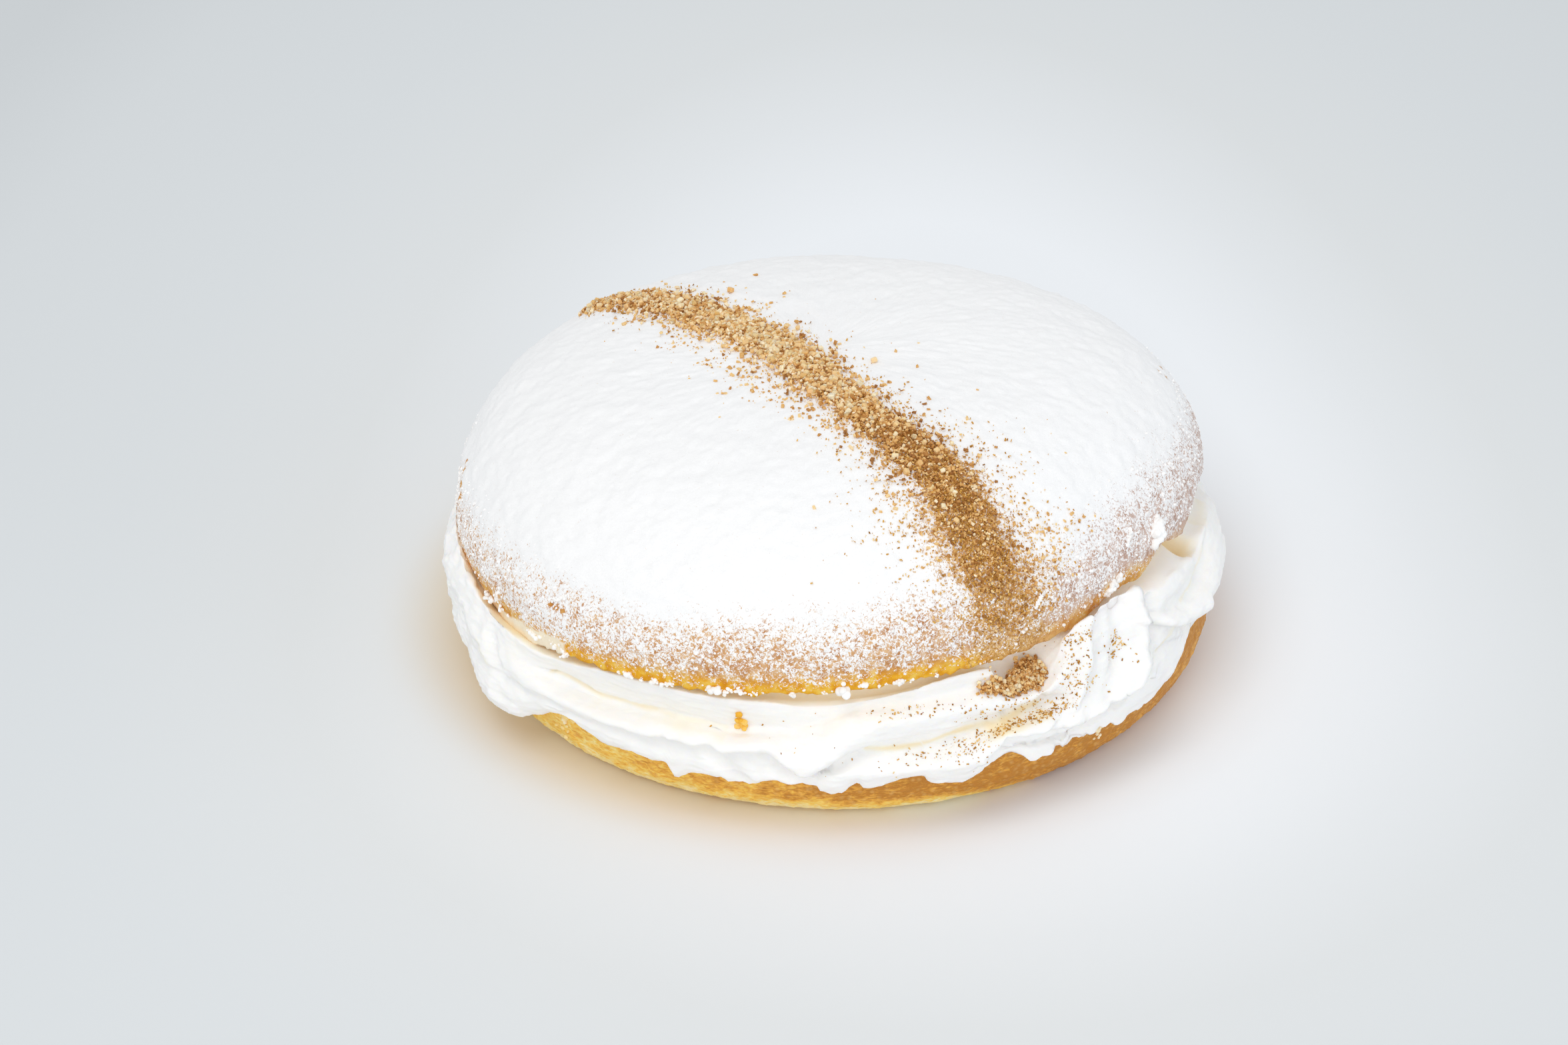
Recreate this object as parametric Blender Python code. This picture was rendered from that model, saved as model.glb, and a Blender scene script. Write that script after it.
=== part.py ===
"""Cream bun, one portion: a round soft bun split in two round a thick layer of whipped cream.

The bottom half stands on its flat foot.  The whipped cream lies on it, bulges out all round and
droops over its edge in folds.  The domed top half rests on the cream, tipped up a little at the
front and at the right.  A band of cinnamon sugar crosses the dome, and small lumps of icing sugar
cling to its rim.

Lengths are in millimetres here and are turned to metres when a mesh is made.  Azimuths are degrees
round the bun: 0 at the front (-Y), +90 at the right (+X), 180 at the back.
"""
import math
import random

import bmesh
import bpy
from mathutils import Matrix, Vector, noise
from mathutils.bvhtree import BVHTree

MM = 0.001                    # metres in a millimetre
CLEARANCE = 0.35              # between two solids that touch

# Bottom half of the bun.
BASE_WIDTH = 106.3            # along X
BASE_DEPTH = 101.0            # along Y
BASE_HEIGHT = 12.0
BASE_BELLY_HEIGHT = 7.2       # where the side stands out furthest
BASE_FOOT_INSET = 4.2         # how far the foot is set in from the belly
BASE_CUT_INSET = 1.0          # how far the cut edge is set in from the belly
BASE_COLUMNS = 80

# Top half of the bun, in its own frame: the cut face is its XY plane.
TOP_WIDTH = 105.8
TOP_DEPTH = 105.2
TOP_HEIGHT = 23.8
TOP_BELLY_HEIGHT = 2.8
TOP_CUT_INSET = 0.35
TOP_SQUARENESS = 3.15         # exponent of the dome's arch: 2 is an ellipse, more is boxier
TOP_LOBING = 0.021            # three gentle lobes in plan, as a share of the radius
TOP_LOBE_AZIMUTH = 99.8
TOP_CROWN_SHIFT = (0.4, -1.7)
TOP_CENTRE = (-2.1, -0.1, 20.7)
TOP_TILT_FRONT = 2.64         # degrees by which the front is lifted
TOP_TILT_RIGHT = 2.69         # degrees by which the right side is lifted
TOP_COLUMNS = 96
TOP_ROWS = 13
TEARS = (                     # torn bits of the cut edge: azimuth, half width, rise
    (-51.0, 12.0, 1.0), (51.0, 12.0, 1.3), (64.0, 9.0, 2.2), (80.0, 13.0, 2.0))
TEAR_REACH = 6.5              # height above the cut at which a tear has faded out
BULGE_AZIMUTH = -79.0         # where the crust's edge swells out
BULGE_HALF_WIDTH = 16.0
BULGE_RISE = 0.6

# Band of cinnamon sugar over the dome, in the top half's plan.
BAND_PATH = ((-36.5, 27.5), (-27.0, 21.6), (-18.5, 15.0), (-10.5, 3.4), (3.0, -14.6),
             (13.5, -29.6), (21.0, -39.8), (25.0, -47.5))
BAND_HALF_WIDTH_FAR = 3.0
BAND_HALF_WIDTH_NEAR = 6.2
BAND_RISE = 0.55
CRYSTAL_COUNT = 100
CRYSTAL_SIZES = (0.75, 1.4)   # smallest and largest edge
LUMPS = (                     # icing sugar on the rim: azimuth, size, height above the cut
    (-60, 1.2, 0.4), (-42, 0.9, 0.3), (-28, 1.1, 0.2), (-24, 0.8, 0.3), (-15, 1.5, 0.6),
    (-11, 1.1, 0.4), (-4, 1.0, 0.2), (3, 1.8, 0.6), (6, 1.1, 0.6), (48, 1.6, 4.6),
    (60, 2.2, 6.4))

# Whipped cream.  Each line runs once round the bun: (azimuth, radius, height).
CREVICE = (                   # the floor of the gap under the top half's edge
    (-180, 50.2, 15.4), (-120, 52.0, 14.8), (-90, 52.9, 15.6), (-76, 53.3, 15.8),
    (-60, 52.6, 14.8), (-41, 52.0, 17.4), (-22, 52.0, 20.0), (-4, 50.6, 19.4),
    (14, 49.4, 20.9), (22, 48.8, 22.0), (26, 47.5, 19.0), (31, 47.6, 18.8),
    (36, 50.4, 22.7), (51, 50.6, 23.1), (56, 49.8, 20.6), (66, 48.4, 18.4),
    (80, 50.2, 19.0), (105, 50.6, 17.6), (150, 50.2, 16.4))
SHOULDER = (                  # the upper lip, close to the top half's edge
    (-180, 52.8, 17.2), (-150, 54.2, 16.2), (-120, 54.2, 16.2), (-98, 54.3, 17.0),
    (-89, 54.5, 18.4), (-82, 55.0, 20.0), (-75, 55.4, 20.2), (-66, 55.5, 18.6),
    (-50, 55.3, 19.0), (-41, 54.3, 19.4), (-36, 54.0, 20.5), (-20, 53.9, 21.5),
    (-11, 53.2, 21.4), (-4, 52.5, 20.8), (9, 51.5, 22.0), (19, 50.7, 23.0),
    (23, 50.5, 22.6), (26, 50.8, 18.6), (31, 51.0, 18.4), (36, 51.3, 24.6),
    (41, 51.4, 26.8), (51, 51.3, 26.4), (56, 51.7, 22.5), (66, 51.8, 19.8),
    (75, 52.5, 21.8), (86, 52.4, 20.4), (95, 51.7, 18.4), (120, 51.8, 18.0),
    (150, 52.2, 17.6))
LEDGE_FOOT = (                # where the shaded ledge below the lip meets the outer roll
    (-180, 53.4, 16.2), (-150, 54.8, 15.2), (-120, 54.8, 15.2), (-98, 54.8, 16.2),
    (-82, 55.7, 18.8), (-75, 56.0, 18.6), (-66, 55.9, 17.3), (-52, 55.6, 17.0),
    (-41, 53.2, 14.8), (-25, 53.0, 16.3), (-14, 53.1, 16.0), (-5, 53.4, 18.2),
    (4, 52.3, 20.2), (14, 51.6, 20.3), (23, 51.1, 20.4), (26, 51.8, 18.2),
    (31, 52.0, 18.0), (36, 51.8, 23.2), (41, 51.8, 25.0), (51, 51.8, 24.6),
    (56, 52.3, 21.0), (66, 52.8, 18.6), (76, 53.5, 20.2), (88, 53.4, 19.2),
    (98, 52.8, 17.4), (120, 52.6, 16.8), (150, 52.8, 16.6))
ROLL = (                      # the crest of the upper roll of cream
    (-180, 55.0, 14.0), (-150, 55.4, 13.4), (-120, 54.8, 13.4), (-98, 54.2, 14.4),
    (-85, 55.5, 15.8), (-77, 56.6, 15.2), (-68, 56.0, 14.2), (-60, 57.2, 13.4),
    (-50, 57.0, 14.0), (-41, 56.2, 14.4), (-16, 56.2, 14.7), (-11, 55.8, 16.0),
    (-4.8, 57.0, 13.0), (2, 55.2, 16.6), (8, 54.0, 18.4), (20, 53.2, 18.4),
    (29, 52.8, 17.3), (36, 53.4, 20.0), (41, 53.2, 20.6), (46, 53.7, 20.4),
    (53, 53.4, 18.4), (60, 54.6, 17.2), (67, 55.5, 17.4), (74, 55.1, 17.4),
    (82, 54.6, 16.8), (92, 53.6, 15.6), (120, 53.6, 14.6), (150, 54.0, 14.2))
WAIST = (                     # the fold under that roll
    (-180, 54.6, 12.6), (-150, 55.2, 12.0), (-120, 54.8, 12.2), (-98, 54.6, 12.8),
    (-85, 55.3, 13.2), (-76, 56.3, 13.0), (-68, 55.8, 12.4), (-60, 57.0, 11.4),
    (-41, 55.4, 13.0), (-14, 55.1, 13.0), (-4.8, 54.8, 11.8), (2.3, 53.9, 13.8),
    (14, 52.6, 13.6), (23, 52.2, 16.0), (31, 52.3, 15.8), (36, 54.2, 17.6),
    (41, 54.2, 18.0), (46, 54.8, 17.8), (54, 53.9, 16.0), (62, 53.9, 15.0),
    (72, 54.6, 15.2), (83, 54.3, 14.6), (94, 53.6, 13.4), (120, 53.4, 12.8),
    (150, 53.8, 12.6))
SKIRT = (                     # the crest of the lower roll
    (-180, 54.6, 11.2), (-150, 55.2, 10.6), (-120, 54.8, 10.8), (-98, 54.6, 11.2),
    (-85, 55.3, 11.2), (-76, 56.3, 10.8), (-68, 56.1, 10.4), (-58, 57.5, 9.4),
    (-52, 57.3, 9.8), (-46, 56.2, 11.4), (-36, 55.6, 11.4), (-4.8, 55.2, 10.8),
    (3, 55.6, 12.2), (19, 55.6, 12.6), (22, 55.2, 15.0), (32, 55.0, 14.4),
    (46, 55.7, 14.8), (54, 54.6, 13.4), (62, 54.1, 13.8), (72, 54.3, 14.0),
    (83, 54.2, 13.4), (94, 53.7, 12.2), (120, 53.6, 11.2), (150, 54.0, 11.0))
HEM = (                       # the lower edge, where the cream hangs over the bottom half
    (-180, 53.8, 8.4), (-150, 54.2, 7.9), (-120, 54.0, 8.0), (-98, 54.0, 8.2),
    (-84, 54.6, 7.8), (-76, 55.1, 7.4), (-66, 55.6, 6.8), (-56, 57.0, 6.0),
    (-52, 56.7, 6.4), (-48, 55.4, 8.0), (-44, 54.7, 10.3), (-40, 54.2, 11.0),
    (-38, 54.2, 9.4), (-33, 54.2, 8.6), (-10, 54.2, 8.9), (10, 54.2, 9.6), (24, 54.2, 10.0),
    (30, 54.2, 8.9), (50, 54.2, 7.8), (58, 54.3, 9.8), (64, 54.0, 12.8),
    (82, 53.8, 12.8), (96, 54.0, 10.0), (150, 54.0, 8.4))
DRIPS = (                     # points of the hem: azimuth, half width in degrees, drop
    (-23.3, 1.6, 2.1), (-13.0, 2.6, 0.9), (-0.8, 2.2, 1.9), (4.0, 1.2, 1.0),
    (16.0, 3.6, 2.2), (28.5, 2.0, 1.0), (44.0, 3.0, 0.7), (118.0, 3.0, 1.2),
    (141.0, 2.4, 1.5), (171.0, 3.2, 1.0), (-158.0, 2.6, 1.3), (-134.0, 3.4, 1.0))
FOLDS = (                     # ridges (+) and creases (-) across the lines:
    # azimuth and height of one end, of the other end, half width, rise
    (41, 25, 38, 19, 3.0, 0.8), (38, 19, 33, 14, 3.0, 0.8), (46, 25, 42, 18.5, 2.8, -0.8),
    (42, 18.5, 40, 15, 2.6, -0.7), (50, 26, 51, 19, 2.8, 0.9), (51, 19, 47, 13, 2.8, 0.8),
    (55.5, 23, 54, 16, 2.0, -0.9), (54, 16, 51, 12.5, 1.8, -0.5), (74, 20, 60, 18, 2.2, 0.7),
    (84, 15, 66, 15.5, 2.0, 0.6), (-18, 14.5, -13.6, 9.8, 2.2, -0.7),
    (-9.6, 14.5, -5.5, 10.5, 2.0, -0.6), (-57.7, 16, -54.4, 12.5, 2.2, -0.5),
    (24, 12.6, 34, 10.8, 1.4, -0.5), (34, 10.8, 45, 12, 1.4, -0.4))
CREAM_COLUMNS = 168
CREAM_FACE_ROWS = 12          # rows from the shoulder down to the hem
POCKET_CRYSTALS = 16          # sugar crystals lying in the hollow at the front right
POCKET_AZIMUTHS = (17.0, 33.0)
POCKET_RADII = (50.2, 52.6)

# Colours seen on the real bun, as sRGB.
DUSTED_CRUST = (0.94, 0.93, 0.92)
CREAM_WHITE = (0.98, 0.96, 0.90)
BAKED_CRUST = (0.86, 0.57, 0.22)


def linear(colour):
    """Turn an sRGB colour into the linear one that a shader takes."""
    return [c / 12.92 if c <= 0.04045 else ((c + 0.055) / 1.055) ** 2.4 for c in colour] + [1.0]


def material(name, colour, roughness):
    made = bpy.data.materials.new(name)
    made.use_nodes = True
    shader = made.node_tree.nodes["Principled BSDF"]
    shader.inputs["Base Color"].default_value = linear(colour)
    shader.inputs["Roughness"].default_value = roughness
    shader.inputs["Metallic"].default_value = 0.0
    return made


def direction(azimuth):
    """Unit vector in plan for an azimuth in degrees."""
    angle = math.radians(azimuth)
    return Vector((math.sin(angle), -math.cos(angle), 0.0))


def turned(azimuth, centre):
    """Signed difference of two azimuths, within half a turn."""
    return (azimuth - centre + 180.0) % 360.0 - 180.0


def bump(distance, half_width):
    """A smooth hump: 1 at the centre and 0 from half_width outwards."""
    if abs(distance) >= half_width:
        return 0.0
    return 0.5 + 0.5 * math.cos(math.pi * distance / half_width)


def monotone_slopes(stations, column):
    """Slopes of a closed line through its stations that never overshoot them."""
    count = len(stations)
    spans, rises = [], []
    for index in range(count):
        following = stations[(index + 1) % count]
        span = (following[0] - stations[index][0]) % 360.0
        spans.append(span)
        rises.append((following[column] - stations[index][column]) / span)
    slopes = []
    for index in range(count):
        before, after = rises[index - 1], rises[index]
        if before * after <= 0.0:
            slopes.append(0.0)
        else:
            weight_a = 2.0 * spans[index] + spans[index - 1]
            weight_b = spans[index] + 2.0 * spans[index - 1]
            slopes.append((weight_a + weight_b) / (weight_a / before + weight_b / after))
    return spans, slopes


def line_reader(stations):
    """Give a function of azimuth that reads radius and height off a closed line."""
    fits = [monotone_slopes(stations, column) for column in (1, 2)]

    def read(azimuth):
        for index, station in enumerate(stations):
            span = fits[0][0][index]
            along = (azimuth - station[0]) % 360.0
            if along < span:
                break
        following = stations[(index + 1) % len(stations)]
        u = along / span
        values = []
        for column in (1, 2):
            slopes = fits[column - 1][1]
            start, end = station[column], following[column]
            slope_in, slope_out = slopes[index], slopes[(index + 1) % len(stations)]
            values.append(
                start * (2 * u ** 3 - 3 * u ** 2 + 1) + end * (3 * u ** 2 - 2 * u ** 3)
                + span * (slope_in * (u ** 3 - 2 * u ** 2 + u) + slope_out * (u ** 3 - u ** 2)))
        return values

    return read


def smooth_section(points, steps):
    """Resample an open polyline to even steps along a rounded curve through its points."""
    padded = [2 * points[0] - points[1]] + list(points) + [2 * points[-1] - points[-2]]
    fine = []
    per_span = 8
    for index in range(1, len(padded) - 2):
        a, b, c, d = padded[index - 1:index + 3]
        for step in range(per_span):
            t = step / per_span
            fine.append(0.5 * (2 * b + (c - a) * t + (2 * a - 5 * b + 4 * c - d) * t ** 2
                               + (3 * b - a - 3 * c + d) * t ** 3))
    fine.append(points[-1].copy())
    lengths = [0.0]
    for start, end in zip(fine, fine[1:]):
        lengths.append(lengths[-1] + (end - start).length)
    sampled = []
    index = 0
    for step in range(steps + 1):
        wanted = lengths[-1] * step / steps
        while index < len(fine) - 2 and lengths[index + 1] < wanted:
            index += 1
        part = (wanted - lengths[index]) / (lengths[index + 1] - lengths[index])
        sampled.append(fine[index].lerp(fine[index + 1], part))
    return sampled


def rings_to_bmesh(rings, bottom_centre, top_centre):
    """Close a stack of rings, lowest first, into one solid with a point at each end."""
    made = bmesh.new()
    loops = [[made.verts.new(point * MM) for point in ring] for ring in rings]
    count = len(rings[0])
    for lower, upper in zip(loops, loops[1:]):
        for index in range(count):
            after = (index + 1) % count
            made.faces.new((lower[index], lower[after], upper[after], upper[index]))
    bottom = made.verts.new(bottom_centre * MM)
    top = made.verts.new(top_centre * MM)
    for index in range(count):
        after = (index + 1) % count
        made.faces.new((bottom, loops[0][after], loops[0][index]))
        made.faces.new((top, loops[-1][index], loops[-1][after]))
    bmesh.ops.triangulate(made, faces=made.faces[:])
    bmesh.ops.recalc_face_normals(made, faces=made.faces[:])
    return made


def add_object(name, bm, finish):
    mesh = bpy.data.meshes.new(name)
    bm.to_mesh(mesh)
    bm.free()
    mesh.materials.append(finish)
    mesh.shade_smooth()
    mesh.set_sharp_from_angle(angle=math.radians(50))
    made = bpy.data.objects.new(name, mesh)
    bpy.context.scene.collection.objects.link(made)
    return made


def base_radius(azimuth):
    """The bottom half's belly: an ellipse in plan, a little uneven as baked."""
    heading = direction(azimuth)
    ellipse = 1.0 / math.hypot(heading.x * 2 / BASE_WIDTH, heading.y * 2 / BASE_DEPTH)
    return ellipse + 0.35 * noise.noise(heading * 2.2 + Vector((7.0, 0.0, 0.0)))


def bottom_half():
    """The bottom half: flat foot, rounded belly and a flat cut face."""
    profile = []              # (inset from the belly, height)
    belly_steps = 5
    for step in range(belly_steps + 1):
        climb = step / belly_steps
        inset = BASE_FOOT_INSET * (1 - math.sqrt(1 - (1 - climb) ** 2))
        profile.append((inset, BASE_BELLY_HEIGHT * climb))
    cut_steps = 3
    for step in range(1, cut_steps + 1):
        climb = step / cut_steps
        height = BASE_BELLY_HEIGHT + (BASE_HEIGHT - BASE_BELLY_HEIGHT) * climb
        profile.append((BASE_CUT_INSET * climb ** 2, height))
    rings = []
    for inset, height in profile:
        ring = []
        for column in range(BASE_COLUMNS):
            azimuth = 360.0 * column / BASE_COLUMNS
            heading = direction(azimuth)
            wrinkle = 0.0
            if 0.0 < height < BASE_HEIGHT:
                wrinkle = 0.3 * noise.noise(heading * 9.0 + Vector((0.0, 0.0, height * 0.3)))
            radius = base_radius(azimuth) - inset + wrinkle
            ring.append(heading * radius + Vector((0.0, 0.0, height)))
        rings.append(ring)
    solid = rings_to_bmesh(rings, Vector((0, 0, 0)), Vector((0, 0, BASE_HEIGHT)))
    return add_object("bun_bottom", solid, material("baked_crust", BAKED_CRUST, 0.6))


TOP_TURN = (Matrix.Rotation(math.radians(-TOP_TILT_RIGHT), 4, "Y")
            @ Matrix.Rotation(math.radians(-TOP_TILT_FRONT), 4, "X"))


def cut_plane_height(point):
    """World height of the top half's cut face above a point in plan."""
    normal = TOP_TURN.to_3x3() @ Vector((0.0, 0.0, 1.0))
    centre = Vector(TOP_CENTRE)
    return centre.z - (normal.x * (point.x - centre.x) + normal.y * (point.y - centre.y)) / normal.z


def dome_point(azimuth, level):
    """Point of the dome in the top half's frame; level is 0 at the cut edge, 1 at the crown."""
    belly_level = 0.16
    if level < belly_level:
        climb = level / belly_level
        shrink = 1.0 - 2 * TOP_CUT_INSET / TOP_WIDTH * (1 - climb) ** 2
        height = TOP_BELLY_HEIGHT * climb
    else:
        angle = 0.5 * math.pi * (level - belly_level) / (1.0 - belly_level)
        shrink = max(math.cos(angle), 0.0) ** (2.0 / TOP_SQUARENESS)
        height = TOP_BELLY_HEIGHT + (TOP_HEIGHT - TOP_BELLY_HEIGHT) * math.sin(angle)
    lobing = 1.0 + TOP_LOBING * math.cos(3 * math.radians(azimuth - TOP_LOBE_AZIMUTH))
    heading = direction(azimuth)
    lean = (height / TOP_HEIGHT) ** 1.5
    return Vector((0.5 * TOP_WIDTH * shrink * lobing * heading.x + TOP_CROWN_SHIFT[0] * lean,
                   0.5 * TOP_DEPTH * shrink * lobing * heading.y + TOP_CROWN_SHIFT[1] * lean,
                   height))


def band_middle(along):
    """Middle of the cinnamon band in plan; along is 0 at the far end and 1 at the near end."""
    place = min(max(along, 0.0), 1.0) * BAND_STEPS
    index = min(int(place), BAND_STEPS - 1)
    return BAND_LINE[index].lerp(BAND_LINE[index + 1], place - index)


def band_half_width(along):
    return BAND_HALF_WIDTH_FAR + (BAND_HALF_WIDTH_NEAR - BAND_HALF_WIDTH_FAR) * along


def band_cover(point):
    """How much cinnamon sugar lies at a point of the dome: 0 is none, 1 the middle of the band."""
    spot = Vector((point.x, point.y))
    offsets = [((spot - middle).length, index) for index, middle in enumerate(BAND_LINE)]
    offset, index = min(offsets)
    return bump(offset, 1.5 * band_half_width(index / BAND_STEPS))


BAND_STEPS = 40
BAND_LINE = smooth_section([Vector(spot) for spot in BAND_PATH], BAND_STEPS)


def dome_solid():
    """The top half alone, with the band's low relief and the tear in its cut edge."""
    rings = []
    levels = [0.0, 0.08, 0.16] + [0.16 + 0.84 * (row / TOP_ROWS) ** 0.9
                                  for row in range(1, TOP_ROWS)]
    inner = [dome_point(360.0 * column / TOP_COLUMNS, 0.0) * 0.96
             for column in range(TOP_COLUMNS)]
    rings.append(inner)
    for level in levels:
        ring = []
        for column in range(TOP_COLUMNS):
            azimuth = 360.0 * column / TOP_COLUMNS
            point = dome_point(azimuth, level)
            outward = Vector((point.x, point.y, point.z * 1.4)).normalized()
            rise = BAND_RISE * band_cover(point) * (0.7 + 0.6 * noise.noise(point * 0.35))
            if level > 0.2:
                rise += 0.25 * noise.noise(point * 0.09)
            point = point + outward * rise
            fade = max(0.0, 1.0 - point.z / TEAR_REACH)
            bulge = BULGE_RISE * bump(turned(azimuth, BULGE_AZIMUTH), BULGE_HALF_WIDTH)
            torn = sum(rise * bump(turned(azimuth, centre), half_width)
                       for centre, half_width, rise in TEARS)
            point += direction(azimuth) * (bulge * fade - 0.45 * torn * fade ** 2)
            point.z += torn * fade
            ring.append(point)
        rings.append(ring)
    crown = dome_point(0.0, 1.0)
    return rings_to_bmesh(rings, Vector((0, 0, 0)), crown)


def grain(name, size, shape, centre, turn):
    """One sugar crystal or lump: a small block with its edges knocked about."""
    block = bmesh.new()
    bmesh.ops.create_cube(block, size=1.0)
    for vert in block.verts:
        jitter = 0.16 * noise.noise_vector(vert.co * 3.0 + centre)
        vert.co = Vector((vert.co.x * shape[0], vert.co.y * shape[1], vert.co.z * shape[2])) + jitter
    bmesh.ops.transform(block, matrix=Matrix.Scale(size * MM, 4), verts=block.verts)
    bmesh.ops.transform(block, matrix=Matrix.Translation(centre * MM) @ turn.to_4x4(),
                        verts=block.verts)
    bmesh.ops.triangulate(block, faces=block.faces[:])
    bmesh.ops.recalc_face_normals(block, faces=block.faces[:])
    mesh = bpy.data.meshes.new(name)
    block.to_mesh(mesh)
    block.free()
    return bpy.data.objects.new(name, mesh)


def resting_turn(normal, dice):
    """A turn that lays a grain along the surface, spun and tipped at random."""
    lay = Vector((0, 0, 1)).rotation_difference(normal).to_matrix()
    spin = Matrix.Rotation(dice.uniform(0, 2 * math.pi), 3, "Z")
    tip = Matrix.Rotation(dice.uniform(-0.5, 0.5), 3, "X")
    return lay @ spin @ tip


def crystal_on(surface, spot, size, dice):
    """A sugar crystal lying where a plumb line through a spot in plan meets a surface."""
    hit, normal, _, _ = surface.ray_cast(Vector((spot.x, spot.y, 60.0)) * MM, Vector((0, 0, -1)))
    shape = (1.0, dice.uniform(0.7, 1.0), dice.uniform(0.6, 0.9))
    centre = hit / MM + normal * size * 0.12
    return grain("crystal", size, shape, centre, resting_turn(normal, dice))


def scattered(count, spacing, place, dice):
    """Spots that keep their distance from each other, drawn one after another from place()."""
    spots = []
    while len(spots) < count:
        spot = place((len(spots) + 0.5) / count, dice)
        if all((spot - other).length > spacing for other in spots):
            spots.append(spot)
    return spots


def band_spot(share, dice):
    along = 0.03 + 0.92 * share
    across = dice.gauss(0.0, 0.5) * band_half_width(along)
    run = band_middle(along + 0.04) - band_middle(along - 0.04)
    sideways = Vector((-run.y, run.x)).normalized()
    return band_middle(along) + sideways * across + run.normalized() * dice.uniform(-1.5, 1.5)


def pocket_spot(share, dice):
    azimuth = POCKET_AZIMUTHS[0] + (POCKET_AZIMUTHS[1] - POCKET_AZIMUTHS[0]) * share
    spot = direction(azimuth) * dice.uniform(*POCKET_RADII)
    return Vector((spot.x, spot.y))


def fuse(body, grains):
    """Join grains to a body with one union."""
    held = bpy.data.collections.new("grains")
    bpy.context.scene.collection.children.link(held)
    for piece in grains:
        held.objects.link(piece)
    union = body.modifiers.new("grains", "BOOLEAN")
    union.operation = "UNION"
    union.operand_type = "COLLECTION"
    union.collection = held
    union.solver = "EXACT"
    union.use_self = True
    bpy.context.view_layer.objects.active = body
    bpy.ops.object.modifier_apply(modifier=union.name)
    for piece in list(held.objects):
        bpy.data.objects.remove(piece, do_unlink=True)
    bpy.data.collections.remove(held)


def top_half():
    """The domed top half with its toppings fused on, set in place on the cream."""
    solid = dome_solid()
    surface = BVHTree.FromBMesh(solid)
    made = add_object("bun_top", solid, material("icing_sugar_crust", DUSTED_CRUST, 0.9))
    dice = random.Random(11)
    smallest, largest = CRYSTAL_SIZES
    grains = []
    for spot in scattered(CRYSTAL_COUNT, 1.7, band_spot, dice):
        size = smallest + (largest - smallest) * dice.random() ** 1.6
        grains.append(crystal_on(surface, spot, size, dice))
    for azimuth, size, height in LUMPS:
        outward = direction(azimuth)
        start = outward * 80.0 + Vector((0.0, 0.0, height))
        hit, normal, _, _ = surface.ray_cast(start * MM, -outward)
        grains.append(grain("lump", size, (1.1, 0.8, 0.8), hit / MM + normal * size * 0.12,
                            resting_turn(normal, dice)))
    fuse(made, grains)
    made.matrix_world = Matrix.Translation(Vector(TOP_CENTRE) * MM) @ TOP_TURN
    return made


def hem_drop(azimuth):
    return sum(drop * bump(turned(azimuth, centre), half_width)
               for centre, half_width, drop in DRIPS)


def fold_rise(azimuth, radius, height):
    """How far the folds lift or sink the face of the cream at a point."""
    rise = 0.0
    for start, start_height, end, end_height, half_width, lift in FOLDS:
        run = Vector((math.radians(end - start) * radius, end_height - start_height))
        spot = Vector((math.radians(turned(azimuth, start)) * radius, height - start_height))
        along = min(max(spot.dot(run) / run.length_squared, 0.0), 1.0)
        rise += lift * bump((spot - run * along).length, half_width)
    return rise


def cream_section(azimuth, lines):
    """One upright section through the cream, from its underside round to its top."""
    heading = direction(azimuth)
    crevice, shoulder, ledge, roll, waist, skirt, hem = [line(azimuth) for line in lines]
    hem[1] -= hem_drop(azimuth)
    roll_top = [0.5 * (ledge[0] + roll[0]) + 0.35, 0.5 * (ledge[1] + roll[1]) + 0.25]
    lip = [0.5 * (skirt[0] + hem[0]) + 0.25, 0.5 * (skirt[1] + hem[1]) - 0.2]
    face = [Vector((radius, height)) for radius, height in
            (hem, lip, skirt, waist, roll, roll_top, ledge, shoulder)]
    face = smooth_section(face, CREAM_FACE_ROWS)
    for point in face:
        point.x += fold_rise(azimuth, point.x, point.y)
    belly = base_radius(azimuth)
    floor = BASE_HEIGHT + CLEARANCE
    tuck = Vector((min(belly + 0.75, hem[0] - 0.15),
                   min(max(hem[1] + 0.7, BASE_BELLY_HEIGHT + 0.3), floor)))
    section = [Vector((belly - 0.5, floor)), tuck] + face + [Vector(crevice)]
    inner = crevice[0] - 2.5
    section.append(Vector((inner, cut_plane_height(heading * inner) - CLEARANCE)))
    return [heading * point.x + Vector((0.0, 0.0, point.y)) for point in section]


def cream():
    """The layer of whipped cream, lofted through its sections round the bun."""
    lines = [line_reader(stations)
             for stations in (CREVICE, SHOULDER, LEDGE_FOOT, ROLL, WAIST, SKIRT, HEM)]
    sections = [cream_section(360.0 * column / CREAM_COLUMNS, lines)
                for column in range(CREAM_COLUMNS)]
    rings = [list(ring) for ring in zip(*sections)]
    top = Vector((0, 0, cut_plane_height(Vector((0, 0, 0))) - CLEARANCE))
    solid = rings_to_bmesh(rings, Vector((0, 0, BASE_HEIGHT + CLEARANCE)), top)
    surface = BVHTree.FromBMesh(solid)
    made = add_object("cream_filling", solid, material("whipped_cream", CREAM_WHITE, 0.45))
    dice = random.Random(5)
    fuse(made, [crystal_on(surface, spot, dice.uniform(0.7, 1.1), dice)
                for spot in scattered(POCKET_CRYSTALS, 1.2, pocket_spot, dice)])
    return made


for leftover in list(bpy.data.objects):
    bpy.data.objects.remove(leftover, do_unlink=True)
bottom_half()
cream()
top_half()
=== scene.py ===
"""Cream bun: a round soft bun split in two round a thick layer of whipped cream.

The file follows the bun as it is put together: the counter and its light, the bottom half, the
whipped cream, what lies on the cream, the top half, and the sugar on top.
Sizes are in millimetres and are turned to metres when a mesh is made.  Azimuths are degrees round
the bun: 0 at the front (-Y), +90 at the right (+X), 180 at the back.
"""
import math

import bpy
import numpy as np
from mathutils import Matrix, Vector, noise
from mathutils.bvhtree import BVHTree


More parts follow.
